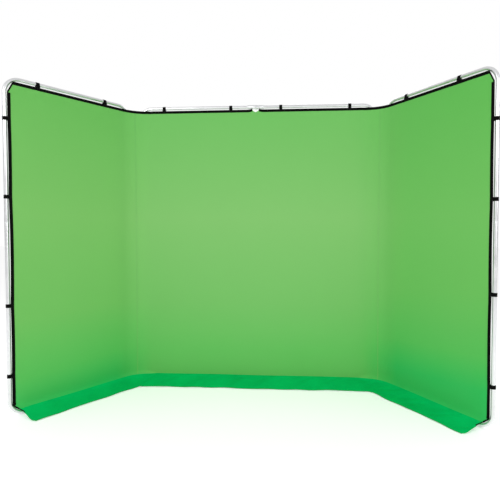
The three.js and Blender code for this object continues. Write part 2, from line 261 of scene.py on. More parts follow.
class Panel:
    """An upright plane: a distance along it, one in front of it and a height give a point."""

    def __init__(self, origin, end):
        self.origin = np.array(origin, float)
        self.length = float(np.linalg.norm(np.array(end) - self.origin))
        self.along = (np.array(end) - self.origin) / self.length
        self.front = np.array([self.along[1], -self.along[0]])

    def place(self, along, front, height):
        along, front, height = np.broadcast_arrays(along, front, height)
        flat = self.origin + along[..., None] * self.along + front[..., None] * self.front
        return np.concatenate([flat, height[..., None]], axis=-1)

    def direction(self, along, front, height):
        return self.place(along, front, height) - self.place(0.0, 0.0, 0.0)


CENTRE = Panel((0, CENTRE_POST[1]), CENTRE_POST)
LINK = Panel(CENTRE_POST, INNER_POST)
WING = Panel(INNER_POST, OUTER_POST)


# ---------------------------------------------------------------- Building meshes


class Shape:
    """The points, faces and texture coordinates (in metres) of a mesh that is being built."""

    def __init__(self):
        self.points = []
        self.faces = []
        self.corners = []
        self.count = 0

    def add(self, points, faces, corners):
        points = np.asarray(points, float).reshape(-1, 3)
        self.points.append(points)
        self.faces += [tuple(int(i) + self.count for i in face) for face in faces]
        self.corners += [tuple(uv) for face in corners for uv in face]
        self.count += len(points)

    def loft(self, rings, ends="closed"):
        """Joins rings of points in turn. ends is closed (last ring to first), capped or open."""
        rings = np.asarray(rings, float)
        many, around = rings.shape[:2]
        step_round = np.linalg.norm(np.roll(rings, -1, axis=1) - rings, axis=2).mean(axis=0)
        u = np.concatenate([[0], np.cumsum(step_round)])
        step_along = np.linalg.norm(np.roll(rings, -1, axis=0) - rings, axis=2).mean(axis=1)
        v = np.concatenate([[0], np.cumsum(step_along)])
        faces, corners = [], []
        for i in range(many if ends == "closed" else many - 1):
            for j in range(around):
                near, far, beside = i * around, (i + 1) % many * around, (j + 1) % around
                faces.append((near + j, near + beside, far + beside, far + j))
                corners.append([(u[j], v[i]), (u[j + 1], v[i]), (u[j + 1], v[i + 1]), (u[j], v[i + 1])])
        if ends == "capped":
            for start in (0, (many - 1) * around):
                faces.append([start + j for j in range(around)])
                corners.append([(u[j], 0.0) for j in range(around)])
        self.add(rings, faces, corners)

    def grid(self, points, u, v):
        """An open sheet of points by row and column, with its texture coordinates u across and v down."""
        rows, columns = points.shape[:2]
        i, j = np.meshgrid(np.arange(rows - 1), np.arange(columns - 1), indexing="ij")
        first = (i * columns + j).ravel()
        faces = np.stack([first, first + columns, first + columns + 1, first + 1], axis=1)
        uv = np.stack([u, v], axis=-1).reshape(-1, 2)
        self.add(points, faces, uv[faces])


def make_piece(name, shape, material, side=1, crease_angle=35.0, solid=True):
    """The mesh object of a shape, mirrored if side is -1, with sharp edges where it turns a corner."""
    points = np.concatenate(shape.points) * np.array([side, 1, 1])
    mesh = bpy.data.meshes.new(name)
    mesh.from_pydata(points.tolist(), [], shape.faces)
    layer = mesh.uv_layers.new(name="Surface")
    layer.data.foreach_set("uv", np.array(shape.corners, np.float32).ravel())
    work = bmesh.new()
    work.from_mesh(mesh)
    if solid:
        bmesh.ops.recalc_face_normals(work, faces=work.faces)
    elif side < 0:
        bmesh.ops.reverse_faces(work, faces=work.faces)
    for face in work.faces:
        face.smooth = True
    for edge in work.edges:
        edge.smooth = edge.calc_face_angle(0.0) < math.radians(crease_angle)
    work.to_mesh(mesh)
    work.free()
    piece = bpy.data.objects.new(name, mesh)
    bpy.context.scene.collection.objects.link(piece)
    mesh.materials.append(material)
    return piece


def assign(piece, slot, body, *nodes):
    """Gives a piece its material slot and its body, and puts it in place of CAD nodes."""
    if nodes:
        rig.replaces(piece, *nodes)
    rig.slot(piece, slot)
    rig.ride(piece, body)


def circle(count):
    angles = np.arange(count) * (2 * math.pi / count)
    return np.cos(angles), np.sin(angles)


def turned_rings(origin, axis, profile, count=40):
    """Rings about an axis through origin, from a profile of (radius, distance along) pairs."""
    axis = np.array(axis, float) / np.linalg.norm(axis)
    aside = np.cross(axis, [0, 0, 1]) if abs(axis[2]) < 0.9 else np.array([1.0, 0, 0])
    aside /= np.linalg.norm(aside)
    other = np.cross(axis, aside)
    cos, sin = circle(count)
    profile = np.array(profile, float)
    radial = cos[:, None] * aside + sin[:, None] * other
    return np.array(origin) + profile[:, 1, None, None] * axis + profile[:, 0, None, None] * radial


SOFT_SHARE = 0.3  # where a bevel has its second edge


def prism(shape, outline, place, low, high, bevel):
    """A solid between two heights from an outline, with bevelled rims.

    place turns the outline's two coordinates and a height into points.
    """
    outline = np.array(outline, float)
    before = outline - np.roll(outline, 1, axis=0)
    after = np.roll(outline, -1, axis=0) - outline
    area = np.sum(outline[:, 0] * np.roll(outline[:, 1], -1) - np.roll(outline[:, 0], -1) * outline[:, 1])
    normals = []
    for edge in (before, after):
        normal = np.stack([edge[:, 1], -edge[:, 0]], axis=1) * np.sign(area)
        normals.append(normal / np.linalg.norm(normal, axis=1, keepdims=True))
    bisector = normals[0] + normals[1]
    reach = np.maximum(np.sum(bisector * normals[0], axis=1, keepdims=True), 0.5)
    inset = outline - bevel * bisector / reach
    softer = outline - SOFT_SHARE * bevel * bisector / reach
    levels = [
        (inset, low),
        (softer, low + SOFT_SHARE * bevel),
        (outline, low + bevel),
        (outline, high - bevel),
        (softer, high - SOFT_SHARE * bevel),
        (inset, high),
    ]
    shape.loft([place(points[:, 0], points[:, 1], height) for points, height in levels], ends="capped")


def arc(centre, radius, start, stop, steps):
    angles = np.radians(np.linspace(start, stop, steps + 1))
    return [(centre[0] + radius * math.cos(a), centre[1] + radius * math.sin(a)) for a in angles]


def rounded_rectangle(width, height, radius, steps=4):
    corners = [(1, 1, 0), (-1, 1, 90), (-1, -1, 180), (1, -1, 270)]
    outline = []
    for x, y, start in corners:
        centre = (x * (width / 2 - radius), y * (height / 2 - radius))
        outline += arc(centre, radius, start, start + 90, steps)
    return outline


# ---------------------------------------------------------------- Materials


class Nodes:
    """A material's node tree, with short ways to add what the materials here share."""

    def __init__(self, name, **constants):
        self.material = bpy.data.materials.new(name)
        self.material.use_nodes = True
        self.tree = self.material.node_tree
        self.shader = self.tree.nodes["Principled BSDF"]
        for socket, value in constants.items():
            self.shader.inputs[socket.replace("_", " ")].default_value = value

    def add(self, kind, **settings):
        node = self.tree.nodes.new(kind)
        for key, value in settings.items():
            setattr(node, key, value)
        return node

    def link(self, source, target):
        self.tree.links.new(source, target)

    def surface(self, scale=(1, 1, 1)):
        """The piece's own texture coordinates, in metres, scaled."""
        coordinates = self.add("ShaderNodeUVMap", uv_map="Surface")
        mapping = self.add("ShaderNodeMapping")
        mapping.inputs["Scale"].default_value = scale
        self.link(coordinates.outputs[0], mapping.inputs["Vector"])
        return mapping.outputs[0]

    def space(self, scale=(1, 1, 1)):
        """Coordinates in the piece's own space, in metres, scaled."""
        coordinates = self.add("ShaderNodeTexCoord")
        mapping = self.add("ShaderNodeMapping")
        mapping.inputs["Scale"].default_value = scale
        self.link(coordinates.outputs["Object"], mapping.inputs["Vector"])
        return mapping.outputs[0]

    def noise(self, vector, scale, detail=3.0, roughness=0.5):
        node = self.add("ShaderNodeTexNoise")
        node.inputs["Scale"].default_value = scale
        node.inputs["Detail"].default_value = detail
        node.inputs["Roughness"].default_value = roughness
        self.link(vector, node.inputs["Vector"])
        return node.outputs["Fac"]

    def wave(self, vector, period, direction):
        """Parallel ridges a period apart (in metres), across X or Y."""
        node = self.add("ShaderNodeTexWave", bands_direction=direction)
        node.inputs["Scale"].default_value = math.pi / (10 * period)
        self.link(vector, node.inputs["Vector"])
        return node.outputs["Fac"]

    def math(self, operation, first, second):
        node = self.add("ShaderNodeMath", operation=operation)
        for socket, value in zip(node.inputs, (first, second)):
            if isinstance(value, (int, float)):
                socket.default_value = value
            else:
                self.link(value, socket)
        return node.outputs[0]

    def ramp(self, factor, *stops):
        """Colours or greys at places along a factor."""
        node = self.add("ShaderNodeValToRGB")
        elements = node.color_ramp.elements
        while len(elements) < len(stops):
            elements.new(1.0)
        for element, (place, value) in zip(elements, stops):
            element.position = place
            element.color = value if len(value) == 4 else (*value, 1)
        self.link(factor, node.inputs[0])
        return node.outputs[0]

    def mix(self, factor, first, second, blend="MIX"):
        node = self.add("ShaderNodeMix", data_type="RGBA", blend_type=blend)
        for socket, value in ((node.inputs[0], factor), (node.inputs[6], first), (node.inputs[7], second)):
            if isinstance(value, (int, float)):
                socket.default_value = value
            elif isinstance(value, tuple):
                socket.default_value = (*value, 1)
            else:
                self.link(value, socket)
        return node.outputs[2]

    def finish(self, colour=None, roughness=None, height=None, relief=0.0002, strength=1.0):
        if colour is not None:
            self.link(colour, self.shader.inputs["Base Color"])
        if roughness is not None:
            self.link(roughness, self.shader.inputs["Roughness"])
        if height is not None:
            bump = self.add("ShaderNodeBump")
            bump.inputs["Distance"].default_value = relief
            bump.inputs["Strength"].default_value = strength
            self.link(height, bump.inputs["Height"])
            self.link(bump.outputs[0], self.shader.inputs["Normal"])
        return self.material


def grey(value):
    return (value, value, value)


def aluminium_tube():
    """Drawn tube with fine streaks along it, faint handling marks and duller patches."""
    nodes = Nodes("tube_aluminium", Metallic=1.0)
    streaks = nodes.noise(nodes.surface((900, 6, 1)), 1.0, 4.0, 0.6)
    patches = nodes.noise(nodes.space(), 9.0, 4.0, 0.6)
    marks = nodes.noise(nodes.space((1, 1, 0.25)), 160.0, 2.0, 0.5)
    wear = nodes.math("MULTIPLY", streaks, patches)
    tint = nodes.ramp(patches, (0.3, (0.78, 0.79, 0.8)), (0.7, (0.87, 0.875, 0.885)))
    colour = nodes.mix(0.2, tint, nodes.ramp(streaks, (0.35, grey(0.7)), (0.7, grey(0.98))), "MULTIPLY")
    roughness = nodes.ramp(wear, (0.1, grey(0.26)), (0.45, grey(0.4)))
    relief = nodes.math("ADD", streaks, nodes.math("MULTIPLY", marks, 0.4))
    return nodes.finish(colour, roughness, relief, 0.00006, 0.5)


def aluminium_cast():
    """Satin die casting: a fine grain, brighter in rubbed patches."""
    nodes = Nodes("cast_aluminium", Metallic=1.0)
    grain = nodes.noise(nodes.space(), 900.0, 3.0, 0.6)
    patches = nodes.noise(nodes.space(), 40.0, 3.0, 0.5)
    colour = nodes.ramp(patches, (0.3, (0.7, 0.71, 0.72)), (0.75, (0.88, 0.885, 0.89)))
    roughness = nodes.ramp(grain, (0.3, grey(0.34)), (0.7, grey(0.5)))
    return nodes.finish(colour, roughness, grain, 0.0001, 0.35)


def bright_steel():
    """Zinc-plated steel with fine turning marks."""
    nodes = Nodes("steel", Metallic=1.0)
    rings = nodes.noise(nodes.surface((40, 3000, 1)), 1.0, 2.0, 0.5)
    patches = nodes.noise(nodes.space(), 220.0, 3.0, 0.6)
    colour = nodes.ramp(patches, (0.3, (0.46, 0.46, 0.45)), (0.7, (0.64, 0.645, 0.65)))
    roughness = nodes.ramp(rings, (0.3, grey(0.22)), (0.7, grey(0.36)))
    return nodes.finish(colour, roughness, rings, 0.00003, 0.4)


def moulded_plastic():
    """Black moulded plastic with a spark-eroded grain, scuffed a little lighter."""
    nodes = Nodes("black_plastic")
    grain = nodes.noise(nodes.space(), 1400.0, 2.0, 0.6)
    scuffs = nodes.noise(nodes.space((1, 1, 0.3)), 60.0, 5.0, 0.65)
    colour = nodes.ramp(scuffs, (0.45, (0.012, 0.012, 0.013)), (0.75, (0.035, 0.035, 0.037)))
    roughness = nodes.ramp(scuffs, (0.35, grey(0.42)), (0.7, grey(0.62)))
    return nodes.finish(colour, roughness, grain, 0.00012, 0.45)


def woven(nodes, period):
    """Height of a plain weave whose threads are a period apart."""
    cloth = nodes.surface()
    across = nodes.wave(cloth, period, "X")
    down = nodes.wave(cloth, period, "Y")
    slub = nodes.noise(nodes.surface((1, 0.12, 1)), 420.0, 2.0, 0.6)
    return nodes.math("ADD", nodes.math("MULTIPLY", across, down), nodes.math("MULTIPLY", slub, 0.5))


def cover_cloth():
    """Chroma-green knit: a fine weave with a soft sheen. Light and shade are painted into its colour: a lighter band
    part way down, painted shade making it deeper at the top and at the foot, a greener painted light on the wings, and
    a deeper, more saturated painted shade on the right side and in the wings' coves.
    """
    nodes = Nodes(
        "cover_cloth",
        Sheen_Weight=0.3,
        Sheen_Roughness=0.55,
        Sheen_Tint=(0.6, 0.9, 0.5, 1),
        Specular_IOR_Level=0.15,
    )
    weave = woven(nodes, 1.8 * MM)
    cloudy = nodes.noise(nodes.surface((1, 0.7, 1)), 1.3, 3.0, 0.5)
    slub = nodes.noise(nodes.surface((0.5, 1, 1)), 240.0, 2.0, 0.6)
    split = nodes.add("ShaderNodeSeparateXYZ")
    nodes.link(nodes.surface((0.5, 0.45, 1)), split.inputs[0])
    along, down = nodes.math("ABSOLUTE", split.outputs["X"], 0.0), split.outputs["Y"]
    # Painted light and shade by height: lightest about 0.9 m below the hem, darker towards the top, and a deeper green
    # towards the foot.
    height_painted_light = nodes.ramp(
        down,
        (0.0, (0.135, 0.45, 0.1)),
        (0.4, (0.205, 0.49, 0.14)),
        (0.72, (0.165, 0.48, 0.12)),
        (0.9, (0.115, 0.485, 0.1)),
    )
    # Painted light on the wings, which face away from the front: a lighter, greener copy of the cloth's colour there.
    on_wing = nodes.ramp(along, (0.44, grey(0.0)), (0.6, grey(1.0)))
    painted_light_tone = nodes.mix(on_wing, height_painted_light, nodes.mix(1.0, height_painted_light, (0.98, 1.06, 0.92), "MULTIPLY"))
    # Painted shade on the right junction and wing: less red and blue there, a deeper and more saturated green.
    on_right = nodes.ramp(split.outputs["X"], (0.4, grey(0.0)), (0.65, grey(1.0)))
    painted_light_tone = nodes.mix(on_right, painted_light_tone, nodes.mix(1.0, painted_light_tone, (0.78, 0.98, 0.84), "MULTIPLY"))
    # Painted shade in the wings' coves, where the cloth turns forward into the skirt: a deep, saturated green low down
    # on the wings.
    lean = nodes.math("ADD", down, nodes.math("MULTIPLY", split.outputs["X"], 0.05))
    cove = nodes.math(
        "MULTIPLY", on_wing, nodes.ramp(lean, (0.68, grey(0.0)), (0.86, grey(0.3)), (0.96, grey(1.0)))
    )
    deeper = nodes.mix(cove, painted_light_tone, (0.0, 0.48, 0.09))
    shaded = nodes.mix(nodes.math("MULTIPLY", cloudy, 0.2), deeper, (0.22, 0.52, 0.16))
    colour = nodes.mix(0.18, shaded, nodes.ramp(slub, (0.3, grey(0.75)), (0.7, grey(1.0))), "MULTIPLY")
    roughness = nodes.ramp(slub, (0.3, grey(0.78)), (0.7, grey(0.95)))
    return nodes.finish(colour, roughness, weave, 0.00035, 0.5)


def skirt_cloth():
    """The same cloth where it lies forward, with painted shade: a deeper, more saturated green than the upright cover.
    """
    nodes = Nodes("skirt_cloth", Specular_IOR_Level=0.05)
    weave = woven(nodes, 1.8 * MM)
    cloudy = nodes.noise(nodes.surface(), 5.0, 3.0, 0.5)
    slub = nodes.noise(nodes.surface((0.5, 1, 1)), 240.0, 2.0, 0.6)
    # Painted shade: the lying skirt is coloured a deeper green with no red, varied by cloudy noise.
    shaded = nodes.ramp(cloudy, (0.3, (0.0, 0.45, 0.105)), (0.7, (0.0, 0.53, 0.13)))
    colour = nodes.mix(0.18, shaded, nodes.ramp(slub, (0.3, grey(0.75)), (0.7, grey(1.0))), "MULTIPLY")
    roughness = nodes.ramp(slub, (0.3, grey(0.8)), (0.7, grey(0.95)))
    return nodes.finish(colour, roughness, weave, 0.00035, 0.5)


def rolled_edge_cloth():
    """The tight roll along a skirt's front edge, painted in the deepest green as shade along the roll."""
    nodes = Nodes("skirt_edge", Specular_IOR_Level=0.2)
    twist = nodes.wave(nodes.surface(), 3 * MM, "DIAGONAL")
    slub = nodes.noise(nodes.surface(), 300.0, 2.0, 0.6)
    # Painted shade along the roll: a much darker green than the skirt's cloth.
    colour = nodes.ramp(slub, (0.3, (0.0, 0.2, 0.035)), (0.7, (0.006, 0.29, 0.06)))
    roughness = nodes.ramp(slub, (0.3, grey(0.8)), (0.7, grey(0.95)))
    return nodes.finish(colour, roughness, twist, 0.0003, 0.4)


def black_webbing():
    """Ribbed polyester webbing, slightly dusty, with painted shade between its threads that leaves its ribs lighter."""
    nodes = Nodes("black_webbing", Specular_IOR_Level=0.06)
    ribs = nodes.wave(nodes.surface(), 2.2 * MM, "X")
    picks = nodes.wave(nodes.surface(), 1.4 * MM, "Y")
    dust = nodes.noise(nodes.space(), 14.0, 4.0, 0.6)
    threads = nodes.math("MULTIPLY", ribs, picks)
    tone = nodes.mix(nodes.math("MULTIPLY", dust, 0.5), (0.001, 0.001, 0.001), (0.007, 0.0075, 0.007))
    # Painted shade in the weave: the colour is darker where the threads' height is low.
    colour = nodes.mix(0.5, tone, nodes.ramp(threads, (0.0, grey(0.45)), (0.6, grey(1.0))), "MULTIPLY")
    roughness = nodes.ramp(dust, (0.3, grey(0.7)), (0.7, grey(0.92)))
    return nodes.finish(colour, roughness, threads, 0.0004, 0.7)


def stitching_thread(name, dark, light):
    nodes = Nodes(name, Specular_IOR_Level=0.2)
    twist = nodes.wave(nodes.surface(), 0.8 * MM, "DIAGONAL")
    # Painted light and shade along the twist: lighter on the thread's crests, darker in its grooves.
    colour = nodes.ramp(twist, (0.0, dark), (1.0, light))
    roughness = nodes.ramp(twist, (0.0, grey(0.75)), (1.0, grey(0.55)))
    return nodes.finish(colour, roughness, twist, 0.0001, 0.5)


TUBE = aluminium_tube()
CAST = aluminium_cast()
STEEL = bright_steel()
PLASTIC = moulded_plastic()
COVER = cover_cloth()
SKIRT = skirt_cloth()
SKIRT_EDGE = rolled_edge_cloth()
WEBBING = black_webbing()
THREAD = stitching_thread("black_stitching", grey(0.006), grey(0.02))
GREEN_THREAD = stitching_thread("green_stitching", (0.06, 0.3, 0.06), (0.1, 0.42, 0.09))


# ---------------------------------------------------------------- Tube frames

RIM = 0.7 * MM  # the rounding of a tube's end
BORE_RADIUS = TUBE_RADIUS - TUBE_WALL
SWAGE_RADIUS = BORE_RADIUS - FIT
SWAGE_BORE = SWAGE_RADIUS - TUBE_WALL
ROW_SPACING = 0.25  # between rings along a straight tube


def sweep_tube(panel, path):
    """A tube with rounded ends. path is rows of along, height and the direction's two parts."""
    path = np.array(path, float)
    inset = path.copy()
    inset[0, :2] += RIM * path[0, 2:]
    inset[-1, :2] -= RIM * path[-1, 2:]
    outer = [(path[0], TUBE_RADIUS - RIM)]
    outer += [(row, TUBE_RADIUS) for row in inset]
    outer += [(path[-1], TUBE_RADIUS - RIM)]
    inner = [(row, BORE_RADIUS) for row in path[::-1]]
    cos, sin = circle(32)
    rings = []
    for (along, height, step_along, step_height), radius in outer + inner:
        ring_along = along - radius * cos * step_height
        ring_height = height + radius * cos * step_along
        rings.append(panel.place(ring_along, radius * sin, ring_height))
    shape = Shape()
    shape.loft(rings)
    return shape


def bend_path(along, height, start_quarter):
    """A quarter bend about a centre, clockwise as seen from the front."""
    rows = []
    for quarter in np.linspace(start_quarter, start_quarter - 1, 15):
        cos, sin = math.cos(quarter * math.pi / 2), math.sin(quarter * math.pi / 2)
        rows.append((along + BEND_RADIUS * cos, height + BEND_RADIUS * sin, sin, -cos))
    return rows


def straight_path(start, end):
    """Rows along a straight run, close enough for the streaks in the metal to follow it."""
    start, end = np.array(start, float), np.array(end, float)
    length = np.linalg.norm(end - start)
    steps = max(1, round(length / ROW_SPACING))
    direction = (end - start) / length
    return [(*(start + (end - start) * i / steps), *direction) for i in range(steps + 1)]


def bow_path(width, whole):
    """The path of a top bow: from its left leg for a whole one, and from the hinge for a half."""
    bend_height = RAIL_HEIGHT - BEND_RADIUS
    right_bend = bend_path(width - BEND_RADIUS, bend_height, 1)
    right_leg = straight_path((width, bend_height), (width, LEG_END))
    if whole:
        left_leg = straight_path((0, LEG_END), (0, bend_height))
        left_bend = bend_path(BEND_RADIUS, bend_height, 2)
        rail = straight_path((BEND_RADIUS, RAIL_HEIGHT), (width - BEND_RADIUS, RAIL_HEIGHT))
        return left_leg[:-1] + left_bend[:-1] + rail[:-1] + right_bend[:-1] + right_leg
    rail = straight_path((RAIL_START, RAIL_HEIGHT), (width - BEND_RADIUS, RAIL_HEIGHT))
    return rail[:-1] + right_bend[:-1] + right_leg


def turned_over(path):
    """The same path at the foot of the frame."""
    return [(along, HEIGHT - height, step, -rise) for along, height, step, rise in path]


def make_bows():
    for side, sign in SIDES.items():
        bows = {f"centre_{side}": (CENTRE, False), f"{side}_wing": (WING, True)}
        for body, (panel, whole) in bows.items():
            path = bow_path(panel.length, whole)
            for level, route in {"top": path, "bottom": turned_over(path)}.items():
                node = f"{body}_{level}_bow"
                tube = make_piece(f"tube_{node}", sweep_tube(panel, route), TUBE, sign)
                assign(tube, "tube_aluminium", body, node)


def lower_profile():
    foot, top = FOOT_END + FIT, UPPER_JOINT - FIT
    return [
        (SWAGE_RADIUS, foot - LEG_SWAGE),
        (SWAGE_RADIUS, foot),
        (TUBE_RADIUS - RIM, foot),
        (TUBE_RADIUS, foot + RIM),
        (TUBE_RADIUS, foot + RIM + 2 * MM),
        (TUBE_RADIUS, top - 5 * MM),
        (TUBE_RADIUS - RIM / 2, top - 2 * MM),
        (TUBE_RADIUS - RIM, top),
        (SWAGE_RADIUS, top),
        (SWAGE_RADIUS, top + MID_SWAGE),
        (SWAGE_BORE, top + MID_SWAGE),
        (SWAGE_BORE, foot - LEG_SWAGE),
    ]


def upper_profile():
    top = LEG_END - FIT
    return [
        (TUBE_RADIUS - RIM, UPPER_JOINT),
        (TUBE_RADIUS, UPPER_JOINT + RIM),
        (TUBE_RADIUS, UPPER_JOINT + RIM + 2 * MM),
        (TUBE_RADIUS, top - RIM - 2 * MM),
        (TUBE_RADIUS, top - RIM),
        (TUBE_RADIUS - RIM, top),
        (SWAGE_RADIUS, top),
        (SWAGE_RADIUS, top + LEG_SWAGE),
        (SWAGE_BORE, top + LEG_SWAGE),
        (SWAGE_BORE, top - TUBE_WALL),
        (BORE_RADIUS, top - 2 * TUBE_WALL),
        (BORE_RADIUS, UPPER_JOINT),
    ]


def snap_button(origin, outward):
    """A sprung button: a flange inside the tube, a shank and a domed head."""
    dome_foot = TUBE_RADIUS + 0.9 * MM
    flattening = 0.43
    profile = [(0.2 * MM, 6.5 * MM), (4.6 * MM, 6.5 * MM), (4.6 * MM, 8 * MM), (3 * MM, 8 * MM)]
    for radius, reach in arc((0, dome_foot), 3 * MM, 0, 80, 8):
        profile.append((radius, dome_foot + (reach - dome_foot) * flattening))
    shape = Shape()
    shape.loft(turned_rings(origin, outward, profile, 28), ends="capped")
    return shape


def make_uprights():
    for side, sign in SIDES.items():
        posts = [
            (f"centre_{side}", "", CENTRE_POST, CENTRE, -1),
            (f"{side}_wing", "inner_", INNER_POST, WING, -1),
            (f"{side}_wing", "outer_", OUTER_POST, WING, 1),
        ]
        for body, prefix, post, panel, facing in posts:
            sections = {"lower": lower_profile(), "upper": upper_profile()}
            for section, profile in sections.items():
                node = f"{body}_{prefix}upright_{section}"
                shape = Shape()
                shape.loft(turned_rings((*post, 0), (0, 0, 1), profile, 32))
                tube = make_piece(f"tube_{node}", shape, TUBE, sign)
                assign(tube, "tube_aluminium", body, node)
            node = f"{body}_{prefix}snap_button"
            outward = panel.direction(0.0, float(facing), 0.0)
            shape = snap_button((*post, middle(node).z), outward)
            button = make_piece(f"dome_{node}", shape, STEEL, sign)
            assign(button, "steel", node, node)


# ---------------------------------------------------------------- Book hinge

COLLAR_LENGTH = 67 * MM
COLLAR_RADIUS = TUBE_RADIUS + 3.5 * MM
KNUCKLE_RADIUS = 6 * MM
KNUCKLE_HALF = 4.5 * MM
KNUCKLE_OUTER = 13 * MM
PIN_RADIUS = 2.9 * MM
HINGE_DEPTH = HINGE_AXIS.y - CENTRE_POST[1]


def collar(shape, rail, open_below):
    """The sleeve over a rail's end. The one on the bottom rail is open where the rail meets the floor."""
    bore = TUBE_RADIUS + FIT
    start, end = 0.5 * MM, 0.5 * MM + COLLAR_LENGTH
    if not open_below:
        profile = [(bore, start), (COLLAR_RADIUS - MM, start)]
        profile += [(COLLAR_RADIUS, start + MM), (COLLAR_RADIUS, end - 6 * MM)]
        profile += [(COLLAR_RADIUS - 0.6 * MM, end - 5 * MM), (COLLAR_RADIUS - 0.6 * MM, end - MM)]
        profile += [(COLLAR_RADIUS - 1.4 * MM, end), (bore, end)]
        shape.loft(turned_rings((0, CENTRE_POST[1], rail), (1, 0, 0), profile, 40))
        return
    floor_gap = 0.6 * MM
    outer_angle = math.degrees(math.asin((rail - floor_gap) / COLLAR_RADIUS))
    inner_angle = math.degrees(math.asin((rail - floor_gap) / bore))
    outline = arc((0, 0), COLLAR_RADIUS, -outer_angle, 180 + outer_angle, 36)
    outline += arc((0, 0), bore, 180 + inner_angle, -inner_angle, 36)

    def place(across, rise, along):
        return CENTRE.place(along + 0 * across, across, rail + rise)

    prism(shape, outline, place, start, end, 0.7 * MM)


def hinge_leaf(rail, knuckles, open_below):
    shape = Shape()
    collar(shape, rail, open_below)
    outline = rounded_rectangle(23 * MM, HINGE_DEPTH - TUBE_RADIUS + 3 * MM, 1.5 * MM)
    arm_middle = (HINGE_DEPTH + TUBE_RADIUS) / 2

    def place(along, behind, height):
        return CENTRE.place(along + 12.2 * MM, -behind - arm_middle, height)

    for low, high in knuckles:
        prism(shape, outline, place, rail + low, rail + high, 0.6 * MM)
        profile = [
            (PIN_RADIUS + FIT, low),
            (KNUCKLE_RADIUS - 0.5 * MM, low),
            (KNUCKLE_RADIUS, low + 0.5 * MM),
            (KNUCKLE_RADIUS, high - 0.5 * MM),
            (KNUCKLE_RADIUS - 0.5 * MM, high),
            (PIN_RADIUS + FIT, high),
        ]
        shape.loft(turned_rings((0, HINGE_AXIS.y, rail), (0, 0, 1), profile, 32))
    return shape


def collar_screws(rail):
    """Two socket screws that hold a collar on its rail, from behind."""
    shape = Shape()
    head = [(0.6 * MM, 1.2 * MM), (1.4 * MM, 1.2 * MM), (1.4 * MM, 2.6 * MM), (2.6 * MM, 2.6 * MM)]
    head += [(3.1 * MM, 2.1 * MM), (3.2 * MM, 0.0), (0.6 * MM, 0.0)]
    for along in (34 * MM, 54 * MM):
        origin = CENTRE.place(along, -COLLAR_RADIUS + 0.4 * MM, rail)
        shape.loft(turned_rings(origin, (0, 1, 0), head, 24))
    return shape


def make_hinges():
    middle_knuckle = [(-KNUCKLE_HALF, KNUCKLE_HALF)]
    outer_knuckles = [(KNUCKLE_HALF + 0.4 * MM, KNUCKLE_OUTER), (-KNUCKLE_OUTER, -KNUCKLE_HALF - 0.4 * MM)]
    for level, rail in {"top": RAIL_HEIGHT, "bottom": TUBE_RADIUS}.items():
        for side, sign in SIDES.items():
            node = f"centre_{side}_{level}_hinge_leaf"
            knuckles = middle_knuckle if side == "left" else outer_knuckles
            leaf = make_piece(f"cast_{node}", hinge_leaf(rail, knuckles, level == "bottom"), CAST, sign)
            assign(leaf, "cast_aluminium", f"centre_{side}", node)
            screws = make_piece(f"screws_{node}", collar_screws(rail), STEEL, sign)
            assign(screws, "steel", f"centre_{side}")
        node = f"{level}_hinge_pin"
        head = KNUCKLE_OUTER + FIT
        profile = [(0.3 * MM, -KNUCKLE_OUTER), (PIN_RADIUS - 0.5 * MM, -KNUCKLE_OUTER)]
        profile += [(PIN_RADIUS, -KNUCKLE_OUTER + 0.5 * MM), (PIN_RADIUS, head)]
        profile += [(PIN_RADIUS + 1.6 * MM, head), (PIN_RADIUS + 1.6 * MM, head + 0.8 * MM)]
        profile += [(PIN_RADIUS + MM, head + 1.6 * MM), (PIN_RADIUS - 0.6 * MM, head + 2 * MM)]
        profile += [(0.3 * MM, head + 2 * MM)]
        shape = Shape()
        shape.loft(turned_rings((0, HINGE_AXIS.y, rail), (0, 0, 1), profile, 28), ends="capped")
        pin = make_piece(f"turned_{node}", shape, STEEL)
        assign(pin, "steel", "centre_left", node)


# ---------------------------------------------------------------- Link clamps

JAW_RADIUS = 17.9 * MM
JAW_HEIGHT = 46 * MM
JAW_GROOVE = TUBE_RADIUS / math.cos(math.radians(15)) + FIT
JAW_SPLIT = 1 * MM  # half the gap between the two jaws


def jaw_outline(facing):
    """A jaw around one side of both tubes, in the link's along and front directions."""
    outer = math.degrees(math.asin(JAW_SPLIT / JAW_RADIUS))
    groove = math.degrees(math.asin(JAW_SPLIT / JAW_GROOVE))
    far = (LINK.length, 0)
    outline = arc((0, 0), JAW_RADIUS, 180 - outer, 90, 14)
    outline += arc((0.32 * LINK.length, JAW_RADIUS + 3 * MM), 3 * MM, 270, 300, 3)
    outline += arc((0.68 * LINK.length, JAW_RADIUS + 3 * MM), 3 * MM, 240, 270, 3)
    outline += arc(far, JAW_RADIUS, 90, outer, 14)
    outline += arc(far, JAW_GROOVE, groove, 180 - groove, 24)
    outline += arc((0, 0), JAW_GROOVE, groove, 180 - groove, 24)
    flat = [(along, min(front, JAW_RADIUS)) for along, front in outline]
    return [(along, facing * front) for along, front in flat]


def jaw_ribs(shape, facing, height):
    """Two raised ribs across the jaw's outer face."""
    outline = rounded_rectangle(0.55 * LINK.length, 1.2 * MM, 0.5 * MM, 3)

    def place(along, front, level):
        return LINK.place(along + LINK.length / 2, facing * (JAW_RADIUS + 0.3 * MM) + front, level)

    for level in (-15 * MM, 13 * MM):
        prism(shape, outline, place, height + level, height + level + 2 * MM, 0.3 * MM)


